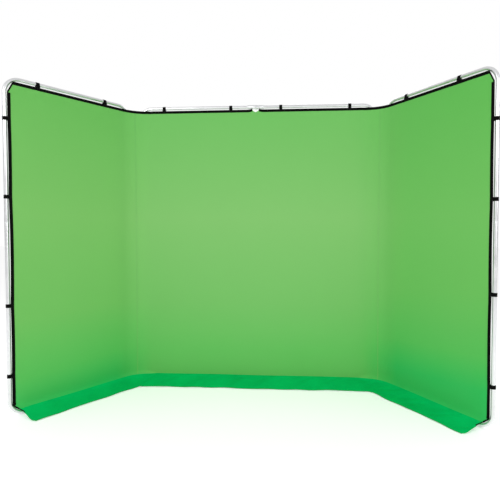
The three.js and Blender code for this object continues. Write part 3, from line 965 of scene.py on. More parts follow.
def clamp_nut(height):
    """The hexagon nut in front of the front jaw, on its washer."""
    shape = Shape()
    forward = LINK.direction(0.0, 1.0, 0.0)
    origin = LINK.place(LINK.length / 2, JAW_RADIUS, height)
    washer = [(3.2 * MM, 0.1 * MM), (6.5 * MM, 0.1 * MM), (6.5 * MM, 1.1 * MM), (3.2 * MM, 1.1 * MM)]
    shape.loft(turned_rings(origin, forward, washer, 32))
    nut = [(2.9 * MM, 1.2 * MM), (5.2 * MM, 1.2 * MM), (5.7 * MM, 1.6 * MM), (5.7 * MM, 4.4 * MM)]
    nut += [(5.2 * MM, 4.9 * MM), (2.9 * MM, 4.9 * MM)]
    shape.loft(turned_rings(origin, forward, nut, 6))
    return shape


def clamp_knob(height):
    """A T knob behind the rear jaw: its hub and its grooved bar."""
    shape = Shape()
    backward = LINK.direction(0.0, -1.0, 0.0)
    origin = LINK.place(LINK.length / 2, 0.0, height)
    base = JAW_RADIUS + FIT
    hub = [(2 * MM, base), (8.5 * MM, base), (9 * MM, base + 0.6 * MM), (8.6 * MM, base + 3 * MM)]
    hub += [(7.6 * MM, base + 7 * MM), (2 * MM, base + 7 * MM)]
    shape.loft(turned_rings(origin, backward, hub, 32))
    half, narrow, end_radius, waist = 21.5 * MM, 4.4 * MM, 5.5 * MM, 6 * MM
    outline = arc((half - end_radius, 0), end_radius, -62, 62, 8)
    outline += [(waist, narrow), (-waist, narrow)]
    outline += arc((-half + end_radius, 0), end_radius, 118, 242, 8)
    outline += [(-waist, -narrow), (waist, -narrow)]

    def place(rise, across, depth):
        return LINK.place(LINK.length / 2 + across, -depth + 0 * rise, height + rise)

    prism(shape, outline, place, base + 1 * MM, base + 9.5 * MM, 1.6 * MM)
    return shape


def clamp_screw(height):
    """The knob's screw, with its thread where it leaves the nut."""
    shape = Shape()
    forward = LINK.direction(0.0, 1.0, 0.0)
    origin = LINK.place(LINK.length / 2, 0.0, height)
    profile = [(0.3 * MM, -JAW_RADIUS - 2 * MM), (2.8 * MM, -JAW_RADIUS - 2 * MM)]
    profile += [(2.8 * MM, JAW_RADIUS - 6 * MM)]
    pitch = 1.25 * MM
    for turn in range(9):
        start = JAW_RADIUS - 5.5 * MM + turn * pitch
        profile += [(2.5 * MM, start), (2.85 * MM, start + 0.4 * pitch), (2.5 * MM, start + 0.8 * pitch)]
    profile += [(0.3 * MM, JAW_RADIUS + 6 * MM)]
    shape.loft(turned_rings(origin, forward, profile, 20), ends="capped")
    return shape


def make_clamps():
    for side, sign in SIDES.items():
        for level in ("bottom", "top"):
            name = f"{side}_link_{level}"
            height = middle(f"{name}_front_jaw").z
            for jaw, facing in {"front": 1, "rear": -1}.items():
                node = f"{name}_{jaw}_jaw"
                shape = Shape()
                low, high = height - JAW_HEIGHT / 2, height + JAW_HEIGHT / 2
                prism(shape, jaw_outline(facing), LINK.place, low, high, 0.8 * MM)
                jaw_ribs(shape, facing, height)
                piece = make_piece(f"moulded_{node}", shape, PLASTIC, sign)
                assign(piece, "black_plastic", f"{side}_link", node)
            nut = make_piece(f"{name}_nut", clamp_nut(height), STEEL, sign, crease_angle=20.0)
            assign(nut, "steel", f"{side}_link")
            knob = make_piece(f"moulded_{name}_knob", clamp_knob(height), PLASTIC, sign)
            assign(knob, "black_plastic", f"{name}_knob", f"{name}_knob")
            screw = make_piece(f"{name}_screw", clamp_screw(height), STEEL, sign)
            assign(screw, "steel", f"{name}_knob")


# ---------------------------------------------------------------- The cloth's surface
#
# The cover is one sheet. A point on it is given by s, the distance along it from the middle
# (negative on the left), and t, the distance down it from the top of the hem.

TURN = math.acos(float(np.dot(CENTRE.along, WING.along)))  # how far each wing is toed in
TANGENT = 0.12  # from the corner of the two cover planes to where the curve across it starts
TURN_RADIUS = TANGENT / math.tan(TURN / 2)
COVER_LINE = CENTRE_POST[1] - COVER_DEPTH
HEM_SIDE = WING.length - HEM_LAP  # the sheet's outer edge, along the wing


def curve_start():
    """Where the curve at a junction starts, along the centre panel."""
    offset = WING.place(0.0, COVER_DEPTH, 0.0)[:2]
    rise = (COVER_LINE - offset[1]) / WING.along[1]
    return offset[0] + rise * WING.along[0] - TANGENT


CURVE_START = curve_start()
CURVE_END = CURVE_START + TURN_RADIUS * TURN
LINK_MIDDLE = (CURVE_START + CURVE_END) / 2


def plan(s):
    """Points in plan and forward directions at distances s along the sheet."""
    s = np.asarray(s, float)
    reach = np.abs(s)
    turn = np.clip((reach - CURVE_START) / TURN_RADIUS, 0, TURN)
    x = np.minimum(reach, CURVE_START) + TURN_RADIUS * np.sin(turn)
    y = COVER_LINE - TURN_RADIUS * (1 - np.cos(turn))
    beyond = np.maximum(reach - CURVE_END, 0)
    x = x + beyond * math.cos(TURN)
    y = y - beyond * math.sin(TURN)
    sign = np.where(s < 0, -1.0, 1.0)
    point = np.stack([sign * x, y], axis=-1)
    forward = np.stack([-sign * np.sin(turn), -np.cos(turn)], axis=-1)
    return point, forward


def straight_on(place):
    """As plan, but on the straight line that touches the sheet at one place along it."""

    def line(s):
        s = np.asarray(s, float)
        sign = np.where(s < 0, -1.0, 1.0)
        point, forward = plan(sign * place)
        outward = np.stack([-sign * forward[..., 1], sign * forward[..., 0]], axis=-1)
        return point + (np.abs(s) - place)[..., None] * outward, forward

    return line


WING_SHIFT = CURVE_END - float((plan(CURVE_END)[0] - INNER_POST) @ WING.along)  # from along to s
SHEET_END = WING_SHIFT + HEM_SIDE
SHEET_DROP = HEM_TOP - CREASE
SKIRT_DEPTH = SKIRT_REACH - COVER_DEPTH
SKIRT_LENGTH = math.hypot(SKIRT_DEPTH, CREASE)
SKIRT_FLOOR = 3.5 * MM  # the height of the skirt's front edge
LEAST_HEIGHT = 1.2 * MM
FOOT_CUT = 30 * MM  # how far the sheet's lower outer corner is cut in, at the crease
SKIRT_CUT = 22 * MM  # how much further the skirt's outer edge is cut in
SQUEEZE = 0.12  # the stretch of sheet that is drawn in beside its slanted corners
COVE_START = 0.84  # where along the sheet its foot begins to turn from a crease into a cove
COVE_SPREAD = 0.12
COVE_RISE = 0.045  # how far above the crease a full cove starts
COVE_BEND = 0.018  # the height that a full cove's curve heads for
CREASE_SAG = 4 * MM  # how far below itself a crease's curve heads for
CREASE_FRONT = 2 * MM
GATHER = 0.034  # how far the outer edge is drawn in between two clips, for their distance squared
GATHER_REACH = 0.45


def softness(s):
    """How softly the sheet bends forward at its foot: 0 is a crease and 1 a cove."""
    reach = np.abs(np.asarray(s, float))
    share = np.clip((reach - COVE_START) / COVE_SPREAD, 0, 1)
    return share * share * (3 - 2 * share)


def foot_curve(soft, v):
    """Distance in front and height at v, from 0 where the cove starts to 1 at the skirt's front edge."""
    start = CREASE + COVE_RISE * soft
    bend = CREASE * (1 - soft) + COVE_BEND * soft - CREASE_SAG * (1 - soft)
    front = v * v * SKIRT_DEPTH + 2 * v * (1 - v) * CREASE_FRONT
    height = (1 - v) ** 2 * start + 2 * v * (1 - v) * bend + v * v * SKIRT_FLOOR
    return front, height


def foot_at(soft, height):
    """The v and the distance in front where the foot's curve passes a height."""
    v = np.linspace(0, 1, 200)
    front, level = foot_curve(soft, v)
    return np.interp(-height, -level, v), np.interp(-height, -level, front)


def gather(s, t):
    """How far the sheet's outer edges are drawn in between their clips, along s."""
    s, t = np.broadcast_arrays(np.asarray(s, float), np.asarray(t, float))
    height = HEM_TOP - np.clip(t, 0, SHEET_DROP)
    depth = np.zeros_like(height)
    for side, sign in SIDES.items():
        stops = [CREASE, *SIDE_CLIPS[side], HEM_TOP]
        for low, high in zip(stops, stops[1:]):
            share = np.clip((height - low) / (high - low), 0, 1)
            bow = GATHER * (high - low) ** 2 * share * (1 - share)
            depth += np.where(sign * s > 0, bow, 0)
    near_edge = np.clip(1 - (SHEET_END - np.abs(s)) / GATHER_REACH, 0, 1) ** 2
    return np.sign(s) * depth * near_edge


def squeezed(s, inset):
    """Draws the last stretch of the sheet in, so that its outer edge lies an inset further in."""
    share = np.clip(1 - (SHEET_END - np.abs(s)) / SQUEEZE, 0, 1)
    return s - np.sign(s) * share * inset


def sheet_inset(t):
    """How far in the sheet's outer edge lies at depth t, for the slanted cuts at its corners."""
    foot_rise = SIDE_HEM_FOOT - CREASE
    top = CORNER_ACROSS * np.clip(1 - t / CORNER_DOWN, 0, 1)
    return top + FOOT_CUT * np.clip((t - SHEET_DROP) / foot_rise + 1, 0, 1)


def skirt_inset(v):
    """How far in the skirt's outer edge lies at v, with a rounded front corner."""
    cut_in = SKIRT_CUT * np.clip(v / 0.3, 0, 1)
    rounding = 16 * MM * np.clip((v - 0.8) / 0.2, 0, 1) ** 3
    return FOOT_CUT + cut_in + rounding


RIPPLE_HEIGHT = 0.9 * MM
RIPPLES = np.random.RandomState(7)
RIPPLE_WAVES = [
    (RIPPLES.uniform(-9, 9), RIPPLES.uniform(1.0, 7.0), RIPPLES.uniform(0, 2 * math.pi))
    for _ in range(9)
]  # radians per metre across and down, and a phase
RIPPLE_TOP, RIPPLE_SIDE = 0.25, 0.2  # the stretches below the hem and beside the edge where ripples fade

CLIP_FOLD, CLIP_FOLD_COUNT, CLIP_FOLD_REACH = 0.0016, 7, 0.11  # the pull folds at a clip
HEM_FOLD, HEM_FOLD_REACH = 0.0022, 0.12  # the gathers beside the lower side hems
HEM_FOLD_TOP, HEM_FOLD_DROP = 1.75, 0.35
PACKING_FOLD, PACKING_FOLD_HEIGHT, PACKING_FOLD_WIDTH = 0.0016, 0.33, 0.018
PUCKER, PUCKER_WIDTH, PUCKER_DEPTH = 0.003, 0.035, 0.16  # beside the junctions, at the top
EDGE_WAVES = [(0.004, 6.1, 0.8), (0.003, 13.7, 2.0), (0.002, 31, 0.0)]  # of the skirt's front edge
SKIRT_LIFT = 0.0035  # the height of its slow waves


def ripple(s, t):
    """Long, shallow waves of a sheet that isn't quite tight, in metres towards the front."""
    total = 0.0
    for across, down, phase in RIPPLE_WAVES:
        total = total + np.sin(across * s + down * t + phase)
    calm = np.clip(t / RIPPLE_TOP, 0, 1) * np.clip((SHEET_END - np.abs(s)) / RIPPLE_SIDE, 0, 1)
    return RIPPLE_HEIGHT * total * calm


def edge_folds(s, t):
    """Pull folds at each clip, gathers beside the lower side hems, a packing fold and puckers."""
    s, t = np.broadcast_arrays(np.asarray(s, float), np.asarray(t, float))
    reach = np.abs(s)
    total = np.zeros_like(reach)
    for side, sign in SIDES.items():
        clips = [(along, 0.0) for along in CENTRE_CLIPS]
        clips += [(WING_SHIFT + along, 0.0) for along in WING_CLIPS[side]]
        clips += [(SHEET_END, HEM_TOP - height) for height in SIDE_CLIPS[side]]
        for clip_s, clip_t in clips:
            away = np.hypot(reach - clip_s, t - clip_t) + 0.02
            angle = np.arctan2(t - clip_t, reach - clip_s)
            wave = np.sin(CLIP_FOLD_COUNT * angle + 11 * clip_s)
            fade = np.exp(-away / CLIP_FOLD_REACH) * np.clip(away / 0.06, 0, 1)
            total += np.where(sign * s > 0, CLIP_FOLD * wave * fade, 0)
    beside = np.clip(1 - (SHEET_END - reach) / HEM_FOLD_REACH, 0, 1)
    low = np.clip((t - HEM_FOLD_TOP) / HEM_FOLD_DROP, 0, 1)
    total += HEM_FOLD * beside * low * np.sin((SHEET_END - reach) * 190)
    from_fold = t - SHEET_DROP + PACKING_FOLD_HEIGHT + 0.012 * np.sin(3 * s)
    broken = (0.6 + 0.4 * np.sin(15 * s)) * np.clip((1.6 - reach) / 0.4, 0, 1)
    total += PACKING_FOLD * np.exp(-((from_fold / PACKING_FOLD_WIDTH) ** 2)) * broken
    from_start = reach - CURVE_START
    near = np.exp(-(((from_start + 0.03) / PUCKER_WIDTH) ** 2)) * np.exp(-t / PUCKER_DEPTH)
    total += PUCKER * near * np.sin(90 * from_start)
    return total


def sheet_points(s, t):
    """Points of the sheet before it hangs, in front of the frames and down to its crease."""
    s, t = np.broadcast_arrays(np.asarray(s, float), np.asarray(t, float))
    point, forward = plan(s - gather(s, t))
    height = HEM_TOP - t
    soft = softness(s)
    low = np.minimum(height, CREASE + COVE_RISE)
    front = np.zeros_like(height)
    for level in np.unique(np.round(soft, 4)):
        chosen = np.isclose(soft, level, atol=5e-5)
        front[chosen] = foot_at(level, low[chosen])[1] * (height[chosen] < CREASE + COVE_RISE)
    front = front + ripple(s, t) + edge_folds(s, t)
    flat = point + forward * front[..., None]
    return np.concatenate([flat, height[..., None]], axis=-1)


def skirt_points(s, v, drop=0.0, line=plan):
    """Points of the skirt from its crease, v = 0, to its front edge, v = 1, along a line in plan."""
    s, v = np.broadcast_arrays(np.asarray(s, float), np.asarray(v, float))
    held = gather(s, np.full_like(s, SHEET_DROP)) * (1 - v)
    s = squeezed(s, skirt_inset(v))
    point, forward = line(s - held)
    soft = softness(s)
    first = np.zeros_like(s)
    for level in np.unique(np.round(soft, 4)):
        chosen = np.isclose(soft, level, atol=5e-5)
        first[chosen] = foot_at(level, CREASE)[0]
    front, height = foot_curve(soft, first + (1 - first) * v)
    crease_lift = ripple(s, np.full_like(s, SHEET_DROP)) + edge_folds(s, np.full_like(s, SHEET_DROP))
    front = front + crease_lift * (1 - v) ** 2
    front = front + v * sum(size * np.sin(rate * s + phase) for size, rate, phase in EDGE_WAVES)
    lift = SKIRT_LIFT * np.sin(17 * s + 5 * v) + 0.002 * np.sin(41 * s + 9 * v + 1.0)
    height = height + np.abs(lift) * 4 * v * (1 - v) + 0.0016 * (1 + np.sin(23 * s)) * v**3
    flat = point + forward * front[..., None]
    lowered = np.maximum(height - drop, LEAST_HEIGHT - 0.2 * drop)
    return np.concatenate([flat, lowered[..., None]], axis=-1)


def skirt_normals(s, v, line=plan):
    """Upward directions of the skirt at s and v."""
    step_s, step_v = 2 * MM, 0.01
    before, after = skirt_points(s - step_s, v, line=line), skirt_points(s + step_s, v, line=line)
    above = skirt_points(s, np.maximum(v - step_v, 0), line=line)
    below = skirt_points(s, np.minimum(v + step_v, 1), line=line)
    across, down = after - before, below - above
    normal = np.cross(down, across)
    return normal / np.linalg.norm(normal, axis=-1, keepdims=True)


def spread(stops, step):
    """Even places between each two stops, no more than a step apart, the stops included."""
    places = [stops[0]]
    for low, high in zip(stops, stops[1:]):
        count = max(1, math.ceil((high - low) / step - 1e-9))
        places += [low + (high - low) * i / count for i in range(1, count + 1)]
    return np.array(places)


CUT = 0.86  # where the centre cover meets the one at a junction
FOLD_HALF = 0.06  # half the width that bends when the centre panel folds
STEP = 25 * MM
HANG_FRAMES = 40
CLOTH_SLACK = 0.0006  # how much larger the cloth is than the frame it is stretched on
MOST_MOVED = 14 * MM
RIGHT_STOPS = [0.0, HEM_START, FOLD_HALF, CUT, LINK_MIDDLE, SHEET_END - SQUEEZE, SHEET_END]
RIGHT_COLUMNS = spread(RIGHT_STOPS, STEP)
COLUMNS = np.concatenate([-RIGHT_COLUMNS[:0:-1], RIGHT_COLUMNS])
ROWS = spread([0.0, CORNER_DOWN, HEM_TOP - SIDE_HEM_FOOT, SHEET_DROP], STEP)


def doubled(grid, axis):
    """A grid with a point added midway between each two, on the smooth curve through their neighbours."""
    grid = np.moveaxis(grid, axis, 0)
    before = np.concatenate([2 * grid[:1] - grid[1:2], grid[:-2]])
    after = np.concatenate([grid[2:], 2 * grid[-1:] - grid[-2:-1]])
    between = (9 * (grid[:-1] + grid[1:]) - before - after) / 16
    out = np.empty((2 * len(grid) - 1, *grid.shape[1:]))
    out[::2] = grid
    out[1::2] = between
    return np.moveaxis(out, 0, axis)


def surface_normals(points):
    """Forward directions of a grid of points, by row and column."""
    down = np.gradient(points, axis=0)
    across = np.gradient(points, axis=1)
    normal = np.cross(down, across)
    return normal / np.linalg.norm(normal, axis=-1, keepdims=True)


def softened(grid, passes=24):
    """A grid of offsets with the creases that are too small for this cloth taken out."""
    for _ in range(passes):
        for axis in (0, 1):
            grid = np.moveaxis(grid, axis, 0)
            middle_rows = 0.25 * grid[:-2] + 0.5 * grid[1:-1] + 0.25 * grid[2:]
            grid = np.moveaxis(np.concatenate([grid[:1], middle_rows, grid[-1:]]), 0, axis)
    return grid


def hung(points):
    """The sheet once it has hung from its hems, with its foot held, in a cloth simulation."""
    rows, columns = points.shape[:2]
    shape = Shape()
    s, t = np.meshgrid(COLUMNS, ROWS)
    shape.grid(points, s, t)
    cloth = make_piece("hanging_sheet", shape, COVER, crease_angle=180.0, solid=False)
    held = (ROWS[:, None] < 2 * HEM_WIDTH) | (ROWS[:, None] > SHEET_DROP - MM)
    held = held | (np.abs(COLUMNS) > SHEET_END - HEM_WIDTH - MM)
    group = cloth.vertex_groups.new(name="held")
    group.add([int(i) for i in np.flatnonzero(held.ravel())], 1.0, "REPLACE")
    hang = cloth.modifiers.new("hang", "CLOTH")
    hang.settings.vertex_group_mass = "held"
    hang.settings.quality = 5
    hang.settings.mass = 0.0002
    hang.settings.tension_stiffness = 12
    hang.settings.compression_stiffness = 4
    hang.settings.shear_stiffness = 3
    hang.settings.bending_stiffness = 0.6
    hang.settings.air_damping = 2
    hang.settings.shrink_min = -CLOTH_SLACK
    hang.point_cache.frame_start = 1
    hang.point_cache.frame_end = HANG_FRAMES
    scene = bpy.context.scene
    for number in range(1, HANG_FRAMES + 1):
        scene.frame_set(number)
    settled = cloth.evaluated_get(bpy.context.evaluated_depsgraph_get()).data
    found = np.empty(rows * columns * 3, np.float32)
    settled.vertices.foreach_get("co", found)
    scene.frame_set(1)
    mesh = cloth.data
    bpy.data.objects.remove(cloth)
    bpy.data.meshes.remove(mesh)
    moved = softened(found.reshape(points.shape) - points)
    far = np.linalg.norm(moved, axis=2, keepdims=True)
    return points + moved * np.minimum(1, MOST_MOVED / np.maximum(far, 1e-6))


coarse = sheet_points(COLUMNS[None, :], ROWS[:, None])
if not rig.quick():
    coarse = hung(coarse)
SHEET = doubled(doubled(coarse, 0), 1)
SHEET_S = doubled(COLUMNS, 0)
SHEET_T = doubled(ROWS, 0)
SHEET_NORMALS = surface_normals(SHEET)


def sampled(grid, s, t):
    """Values of a grid over the sheet, at s and t."""
    column = np.clip(np.searchsorted(SHEET_S, s, side="right") - 1, 0, len(SHEET_S) - 2)
    row = np.clip(np.searchsorted(SHEET_T, t, side="right") - 1, 0, len(SHEET_T) - 2)
    across = ((s - SHEET_S[column]) / (SHEET_S[column + 1] - SHEET_S[column]))[..., None]
    down = ((t - SHEET_T[row]) / (SHEET_T[row + 1] - SHEET_T[row]))[..., None]
    upper = grid[row, column] * (1 - across) + grid[row, column + 1] * across
    lower = grid[row + 1, column] * (1 - across) + grid[row + 1, column + 1] * across
    return upper * (1 - down) + lower * down


def on_sheet(s, t, lift=0.0):
    """Points on the sheet at s and t, lifted off it towards the front."""
    s, t, lift = np.broadcast_arrays(np.asarray(s, float), np.asarray(t, float), lift)
    return sampled(SHEET, s, t) + sampled(SHEET_NORMALS, s, t) * lift[..., None]


# ---------------------------------------------------------------- Cover


def sheet_between(low, high):
    """The columns of the sheet from low to high."""
    return np.flatnonzero((SHEET_S > low - 1e-6) & (SHEET_S < high + 1e-6))


def set_normals(piece, normals):
    piece.data.normals_split_custom_set_from_vertices(normals.reshape(-1, 3).tolist())


def cover_part(name, low, high):
    """A stretch of the cover, with a last row that goes on beneath the skirt."""
    tucked_v = 0.05
    columns = sheet_between(low, high)
    s, t = np.meshgrid(SHEET_S[columns], SHEET_T)
    fold_gap = np.clip(1 - np.abs(s) / HEM_START, 0, 1) ** 0.5 * (HEM_WIDTH - 2 * MM)
    t = np.maximum(t, MM + fold_gap)
    foot_s, foot_v = s[-1:], np.full_like(s[-1:], tucked_v)
    s = squeezed(s, sheet_inset(t))
    points = np.concatenate([on_sheet(s, t), skirt_points(foot_s, foot_v, 1.5 * MM)])
    normals = np.concatenate([sampled(SHEET_NORMALS, s, t), skirt_normals(foot_s, foot_v)])
    shape = Shape()
    foot_t = np.full_like(foot_s, SHEET_DROP + tucked_v * SKIRT_LENGTH)
    shape.grid(points, np.concatenate([s, foot_s]), np.concatenate([t, foot_t]))
    piece = make_piece(name, shape, COVER, crease_angle=180.0, solid=False)
    set_normals(piece, normals)
    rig.slot(piece, "cover_cloth")
    return piece


def bend_ends(first, last, tangent_at):
    """Two points in plan, in line with the sheet's direction at one of them."""
    start, end = plan(first)[0], plan(last)[0]
    forward = plan(tangent_at)[1]
    direction = np.array([-forward[1], forward[0]])
    if tangent_at == last:
        return end - direction * float((end - start) @ direction), end
    return start, start + direction * float((end - start) @ direction)


BEND_START = CUT + 0.03  # a junction's cover bends from here to the link's middle
BLENDS = {
    "junction": bend_ends(BEND_START, LINK_MIDDLE, LINK_MIDDLE),
    "wing": bend_ends(LINK_MIDDLE, 2 * LINK_MIDDLE - BEND_START, LINK_MIDDLE),
}


def bend_side(zone, side):
    """What lets a piece bend at a link's first pivot, zone junction, or its second, zone wing."""
    bodies = {"junction": (f"centre_{side}", f"{side}_link"), "wing": (f"{side}_link", f"{side}_wing")}
    ends = [(SIDES[side] * end[0], end[1], CREASE) for end in BLENDS[zone]]
    return lambda piece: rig.blend(piece, *bodies[zone], *ends)


def bend_centre(piece):
    """Lets a piece bend where the centre panel folds."""
    start, end = (-FOLD_HALF, COVER_LINE, CREASE), (FOLD_HALF, COVER_LINE, CREASE)
    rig.blend(piece, "centre_left", "centre_right", start, end)


def side_span(sign, low, high):
    return (low, high) if sign > 0 else (-high, -low)


def make_cover(hems):
    """The cover, in five parts that meet edge to edge."""
    centre = cover_part("cover_centre", -CUT, CUT)
    bend_centre(centre)
    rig.replaces(centre, "centre_left_cover", "centre_right_cover")
    clips = ["clip_centre_left_1", "clip_centre_right_1"]
    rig.sheet(centre, (2 * CUT, SHEET_DROP), "stretched", clips, with_pieces=[hems["centre"]])
    for side, sign in SIDES.items():
        parts = [
            ("junction", f"{side}_link_cover", (CUT, LINK_MIDDLE), f"clip_centre_{side}_2"),
            ("wing", f"{side}_wing_cover", (LINK_MIDDLE, SHEET_END), f"clip_{side}_wing_1"),
        ]
        for zone, node, span, clip in parts:
            piece = cover_part(f"cover_{side}_{zone}", *side_span(sign, *span))
            bend_side(zone, side)(piece)
            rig.replaces(piece, node)
            flat = (span[1] - span[0], SHEET_DROP)
            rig.sheet(piece, flat, "stretched", [clip], with_pieces=[hems[f"{side}_{zone}"]])


# ---------------------------------------------------------------- Hems, bindings and stitches

BAND_HALF = 1.3 * MM  # half the thickness of the hem, with the cloth folded inside
BINDING_WIDTH = 10 * MM
BINDING_HALF = MM
STITCH_HALF = 0.45 * MM  # half a stitch's width
STITCH_INSET = 3.5 * MM
PATH_STEP = 12 * MM


def band(shape, path, width, half=BAND_HALF, lift=None):
    """A flat band with rounded edges on the sheet, along a path of (s, t) points."""
    path = np.array(path, float)
    direction = np.gradient(path, axis=0)
    direction /= np.linalg.norm(direction, axis=1, keepdims=True)
    across = np.stack([-direction[:, 1], direction[:, 0]], axis=1)
    section = np.array(rounded_rectangle(width, 2 * half, 0.85 * half, 2))
    lifts = np.zeros(len(path)) if lift is None else np.asarray(lift, float)
    rings = []
    for point, side, rise in zip(path, across, lifts):
        places = point + section[:, :1] * side
        rings.append(on_sheet(places[:, 0], places[:, 1] - rise, section[:, 1]))
    shape.loft(rings, ends="capped")


def stitch_row(shape, path, pitch=7 * MM, length=4.2 * MM, lift=BAND_HALF):
    """A row of stitches on the front of the sheet along a path of (s, t) points."""
    path = np.array(path, float)
    gone = np.concatenate([[0], np.cumsum(np.linalg.norm(np.diff(path, axis=0), axis=1))])
    starts = np.arange(pitch / 2, gone[-1] - length, pitch)
    for start in starts:
        ends = [[np.interp(d, gone, path[:, k]) for k in (0, 1)] for d in (start, start + length)]
        ends = np.array(ends)
        direction = (ends[1] - ends[0]) / length
        aside = np.array([-direction[1], direction[0]]) * STITCH_HALF
        rings = []
        for share, width, rise in ((0, 0.5, 0.1), (0.25, 1, 0.5), (0.75, 1, 0.5), (1, 0.5, 0.1)):
            place = ends[0] + (ends[1] - ends[0]) * share
            corners = np.array([place - aside * width, place + aside * width])
            low = on_sheet(corners[:, 0], corners[:, 1], lift - 0.1 * MM)
            high = on_sheet(corners[::-1, 0], corners[::-1, 1], lift + rise * MM)
            rings.append(np.concatenate([low, high]))
        shape.loft(rings, ends="capped")


def level_path(low, high, t):
    """A path along the sheet at one depth."""
    s = np.unique(np.concatenate([spread([low, high], PATH_STEP), SHEET_S[sheet_between(low, high)]]))
    return np.stack([s, np.full_like(s, t)], axis=1)


def upright_path(s, low, high):
    """A path down the sheet at one place along it."""
    t = spread([low, high], PATH_STEP)
    return np.stack([np.full_like(t, s), t], axis=1)


def hem_piece(name, bands, stitches, bend):
    """A hem of bands (path, width, half thickness and lift) with its rows of stitches."""
    shape = Shape()
    for path, width, half, lift in bands:
        band(shape, path, width, half, lift)
    piece = make_piece(name, shape, WEBBING)
    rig.slot(piece, "black_webbing")
    bend(piece)
    thread_shape = Shape()
    for path in stitches:
        stitch_row(thread_shape, path)
    thread = make_piece(f"{name}_stitches", thread_shape, THREAD)
    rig.slot(thread, "black_webbing")
    bend(thread)
    return piece


def top_band(low, high, lifted=False):
    """The hem along the top between two places, its stitches, and the lift of its inner end."""
    path = level_path(low, high, HEM_WIDTH / 2)
    lift = None
    if lifted:
        lift = 7 * MM * np.clip(1 - (np.abs(path[:, 0]) - HEM_START) / 0.04, 0, 1) ** 2
    rows = [level_path(low, high, STITCH_INSET), level_path(low, high, HEM_WIDTH - STITCH_INSET)]
    return (path, HEM_WIDTH, BAND_HALF, lift), rows


def edge_binding(sign, low, high):
    """The thin binding along the sheet's slanted outer edge, between two depths."""
    t = spread([low, high], PATH_STEP)
    inset = sheet_inset(t) + BINDING_WIDTH / 2
    return np.stack([sign * (SHEET_END - inset), t], axis=1), BINDING_WIDTH, BINDING_HALF, None


def make_seams():
    """The welted seams where the wings' cloth is sewn to the centre's."""
    for side, sign in SIDES.items():
        shape = Shape()
        band(shape, upright_path(sign * LINK_MIDDLE, HEM_WIDTH - MM, SHEET_DROP), 9 * MM, 0.7 * MM)
        seam = make_piece(f"seam_{side}", shape, COVER)
        assign(seam, "cover_cloth", f"{side}_link")
        thread_shape = Shape()
        for offset in (-3 * MM, 3 * MM):
            line = upright_path(sign * LINK_MIDDLE + offset, HEM_WIDTH, SHEET_DROP - 5 * MM)
            stitch_row(thread_shape, line, lift=0.6 * MM)
        thread = make_piece(f"seam_{side}_stitches", thread_shape, GREEN_THREAD)
        assign(thread, "cover_cloth", f"{side}_link")


def make_hems():
    hems = {}
    bands, stitches = [], []
    for sign in SIDES.values():
        bands.append(top_band(*side_span(sign, HEM_START, CUT), lifted=True)[0])
        for t in (STITCH_INSET, HEM_WIDTH - STITCH_INSET):
            stitches.append(level_path(*side_span(sign, HEM_START + 45 * MM, CUT), t))
    hems["centre"] = hem_piece("hem_centre", bands, stitches, bend_centre)
    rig.replaces(hems["centre"], "centre_left_hem", "centre_right_hem")
    side_line = SHEET_END - HEM_WIDTH / 2
    side_top, side_foot = CORNER_DOWN + 5 * MM, HEM_TOP - SIDE_HEM_FOOT
    for side, sign in SIDES.items():
        piece, rows = top_band(*side_span(sign, CUT, LINK_MIDDLE))
        name = f"{side}_junction"
        hems[name] = hem_piece(f"hem_{name}", [piece], rows, bend_side("junction", side))
        piece, rows = top_band(*side_span(sign, LINK_MIDDLE, SHEET_END - CORNER_ACROSS + 4 * MM))
        down = upright_path(sign * side_line, side_top, side_foot)
        for inset in (STITCH_INSET, HEM_WIDTH - STITCH_INSET):
            rows.append(upright_path(sign * (SHEET_END - inset), side_top, side_foot))
        bands = [
            piece,
            (down, HEM_WIDTH, BAND_HALF, None),
            edge_binding(sign, 6 * MM, side_top + 4 * MM),
            edge_binding(sign, side_foot - 4 * MM, SHEET_DROP),
        ]
        name = f"{side}_wing"
        hems[name] = hem_piece(f"hem_{name}", bands, rows, bend_side("wing", side))
        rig.replaces(hems[name], f"{side}_wing_hem")
    return hems


# ---------------------------------------------------------------- Strap clips

STRAP_HALF = 0.75 * MM
STRAP_WIDTH = 25 * MM
TAB_SHARE = 0.72  # how much of the hem's width a tab covers


def tangent(point, radius, turn):
    """The angle at which a straight line from a point meets a circle about the origin."""
    angle = math.degrees(math.atan2(point[1], point[0]))
    return angle + turn * math.degrees(math.acos(radius / math.hypot(*point)))


def strap_line(hem):
    """A strap's line around a tube, as distances in front of its axis and from it towards the hem."""
    around = TUBE_RADIUS + FIT + STRAP_HALF
    front = COVER_DEPTH + BAND_HALF + STRAP_HALF
    back = COVER_DEPTH - BAND_HALF - STRAP_HALF
    tab = hem + TAB_SHARE * HEM_WIDTH
    behind = max(hem + 1.5 * MM, TUBE_RADIUS + 4 * MM)
    start, stop = tangent((front, hem), around, -1), tangent((back, behind), around, 1) - 360
    line = [(front, tab), (front, hem + 8 * MM), (front - 0.2 * MM, hem + 0.5 * MM)]
    line += arc((0, 0), around, start, stop, 30)
    line += [(back, behind), (back, behind + 3 * MM), (back, max(tab, behind + 5 * MM))]
    return np.array(line)


def strap(place, hem):
    """A webbing loop with a tab on each side of the hem. place turns front, across and along into a point."""
    line = strap_line(hem)
    direction = np.gradient(line, axis=0)
    direction /= np.linalg.norm(direction, axis=1, keepdims=True)
    aside = np.stack([direction[:, 1], -direction[:, 0]], axis=1)
    section = np.array(rounded_rectangle(STRAP_WIDTH, 2 * STRAP_HALF, 0.6 * MM, 2))
    rings = []
    for point, normal in zip(line, aside):
        places = point + section[:, 1:] * normal
        rings.append(place(places[:, 0], places[:, 1], section[:, 0]))
    shape = Shape()
    shape.loft(rings, ends="capped")
    return shape


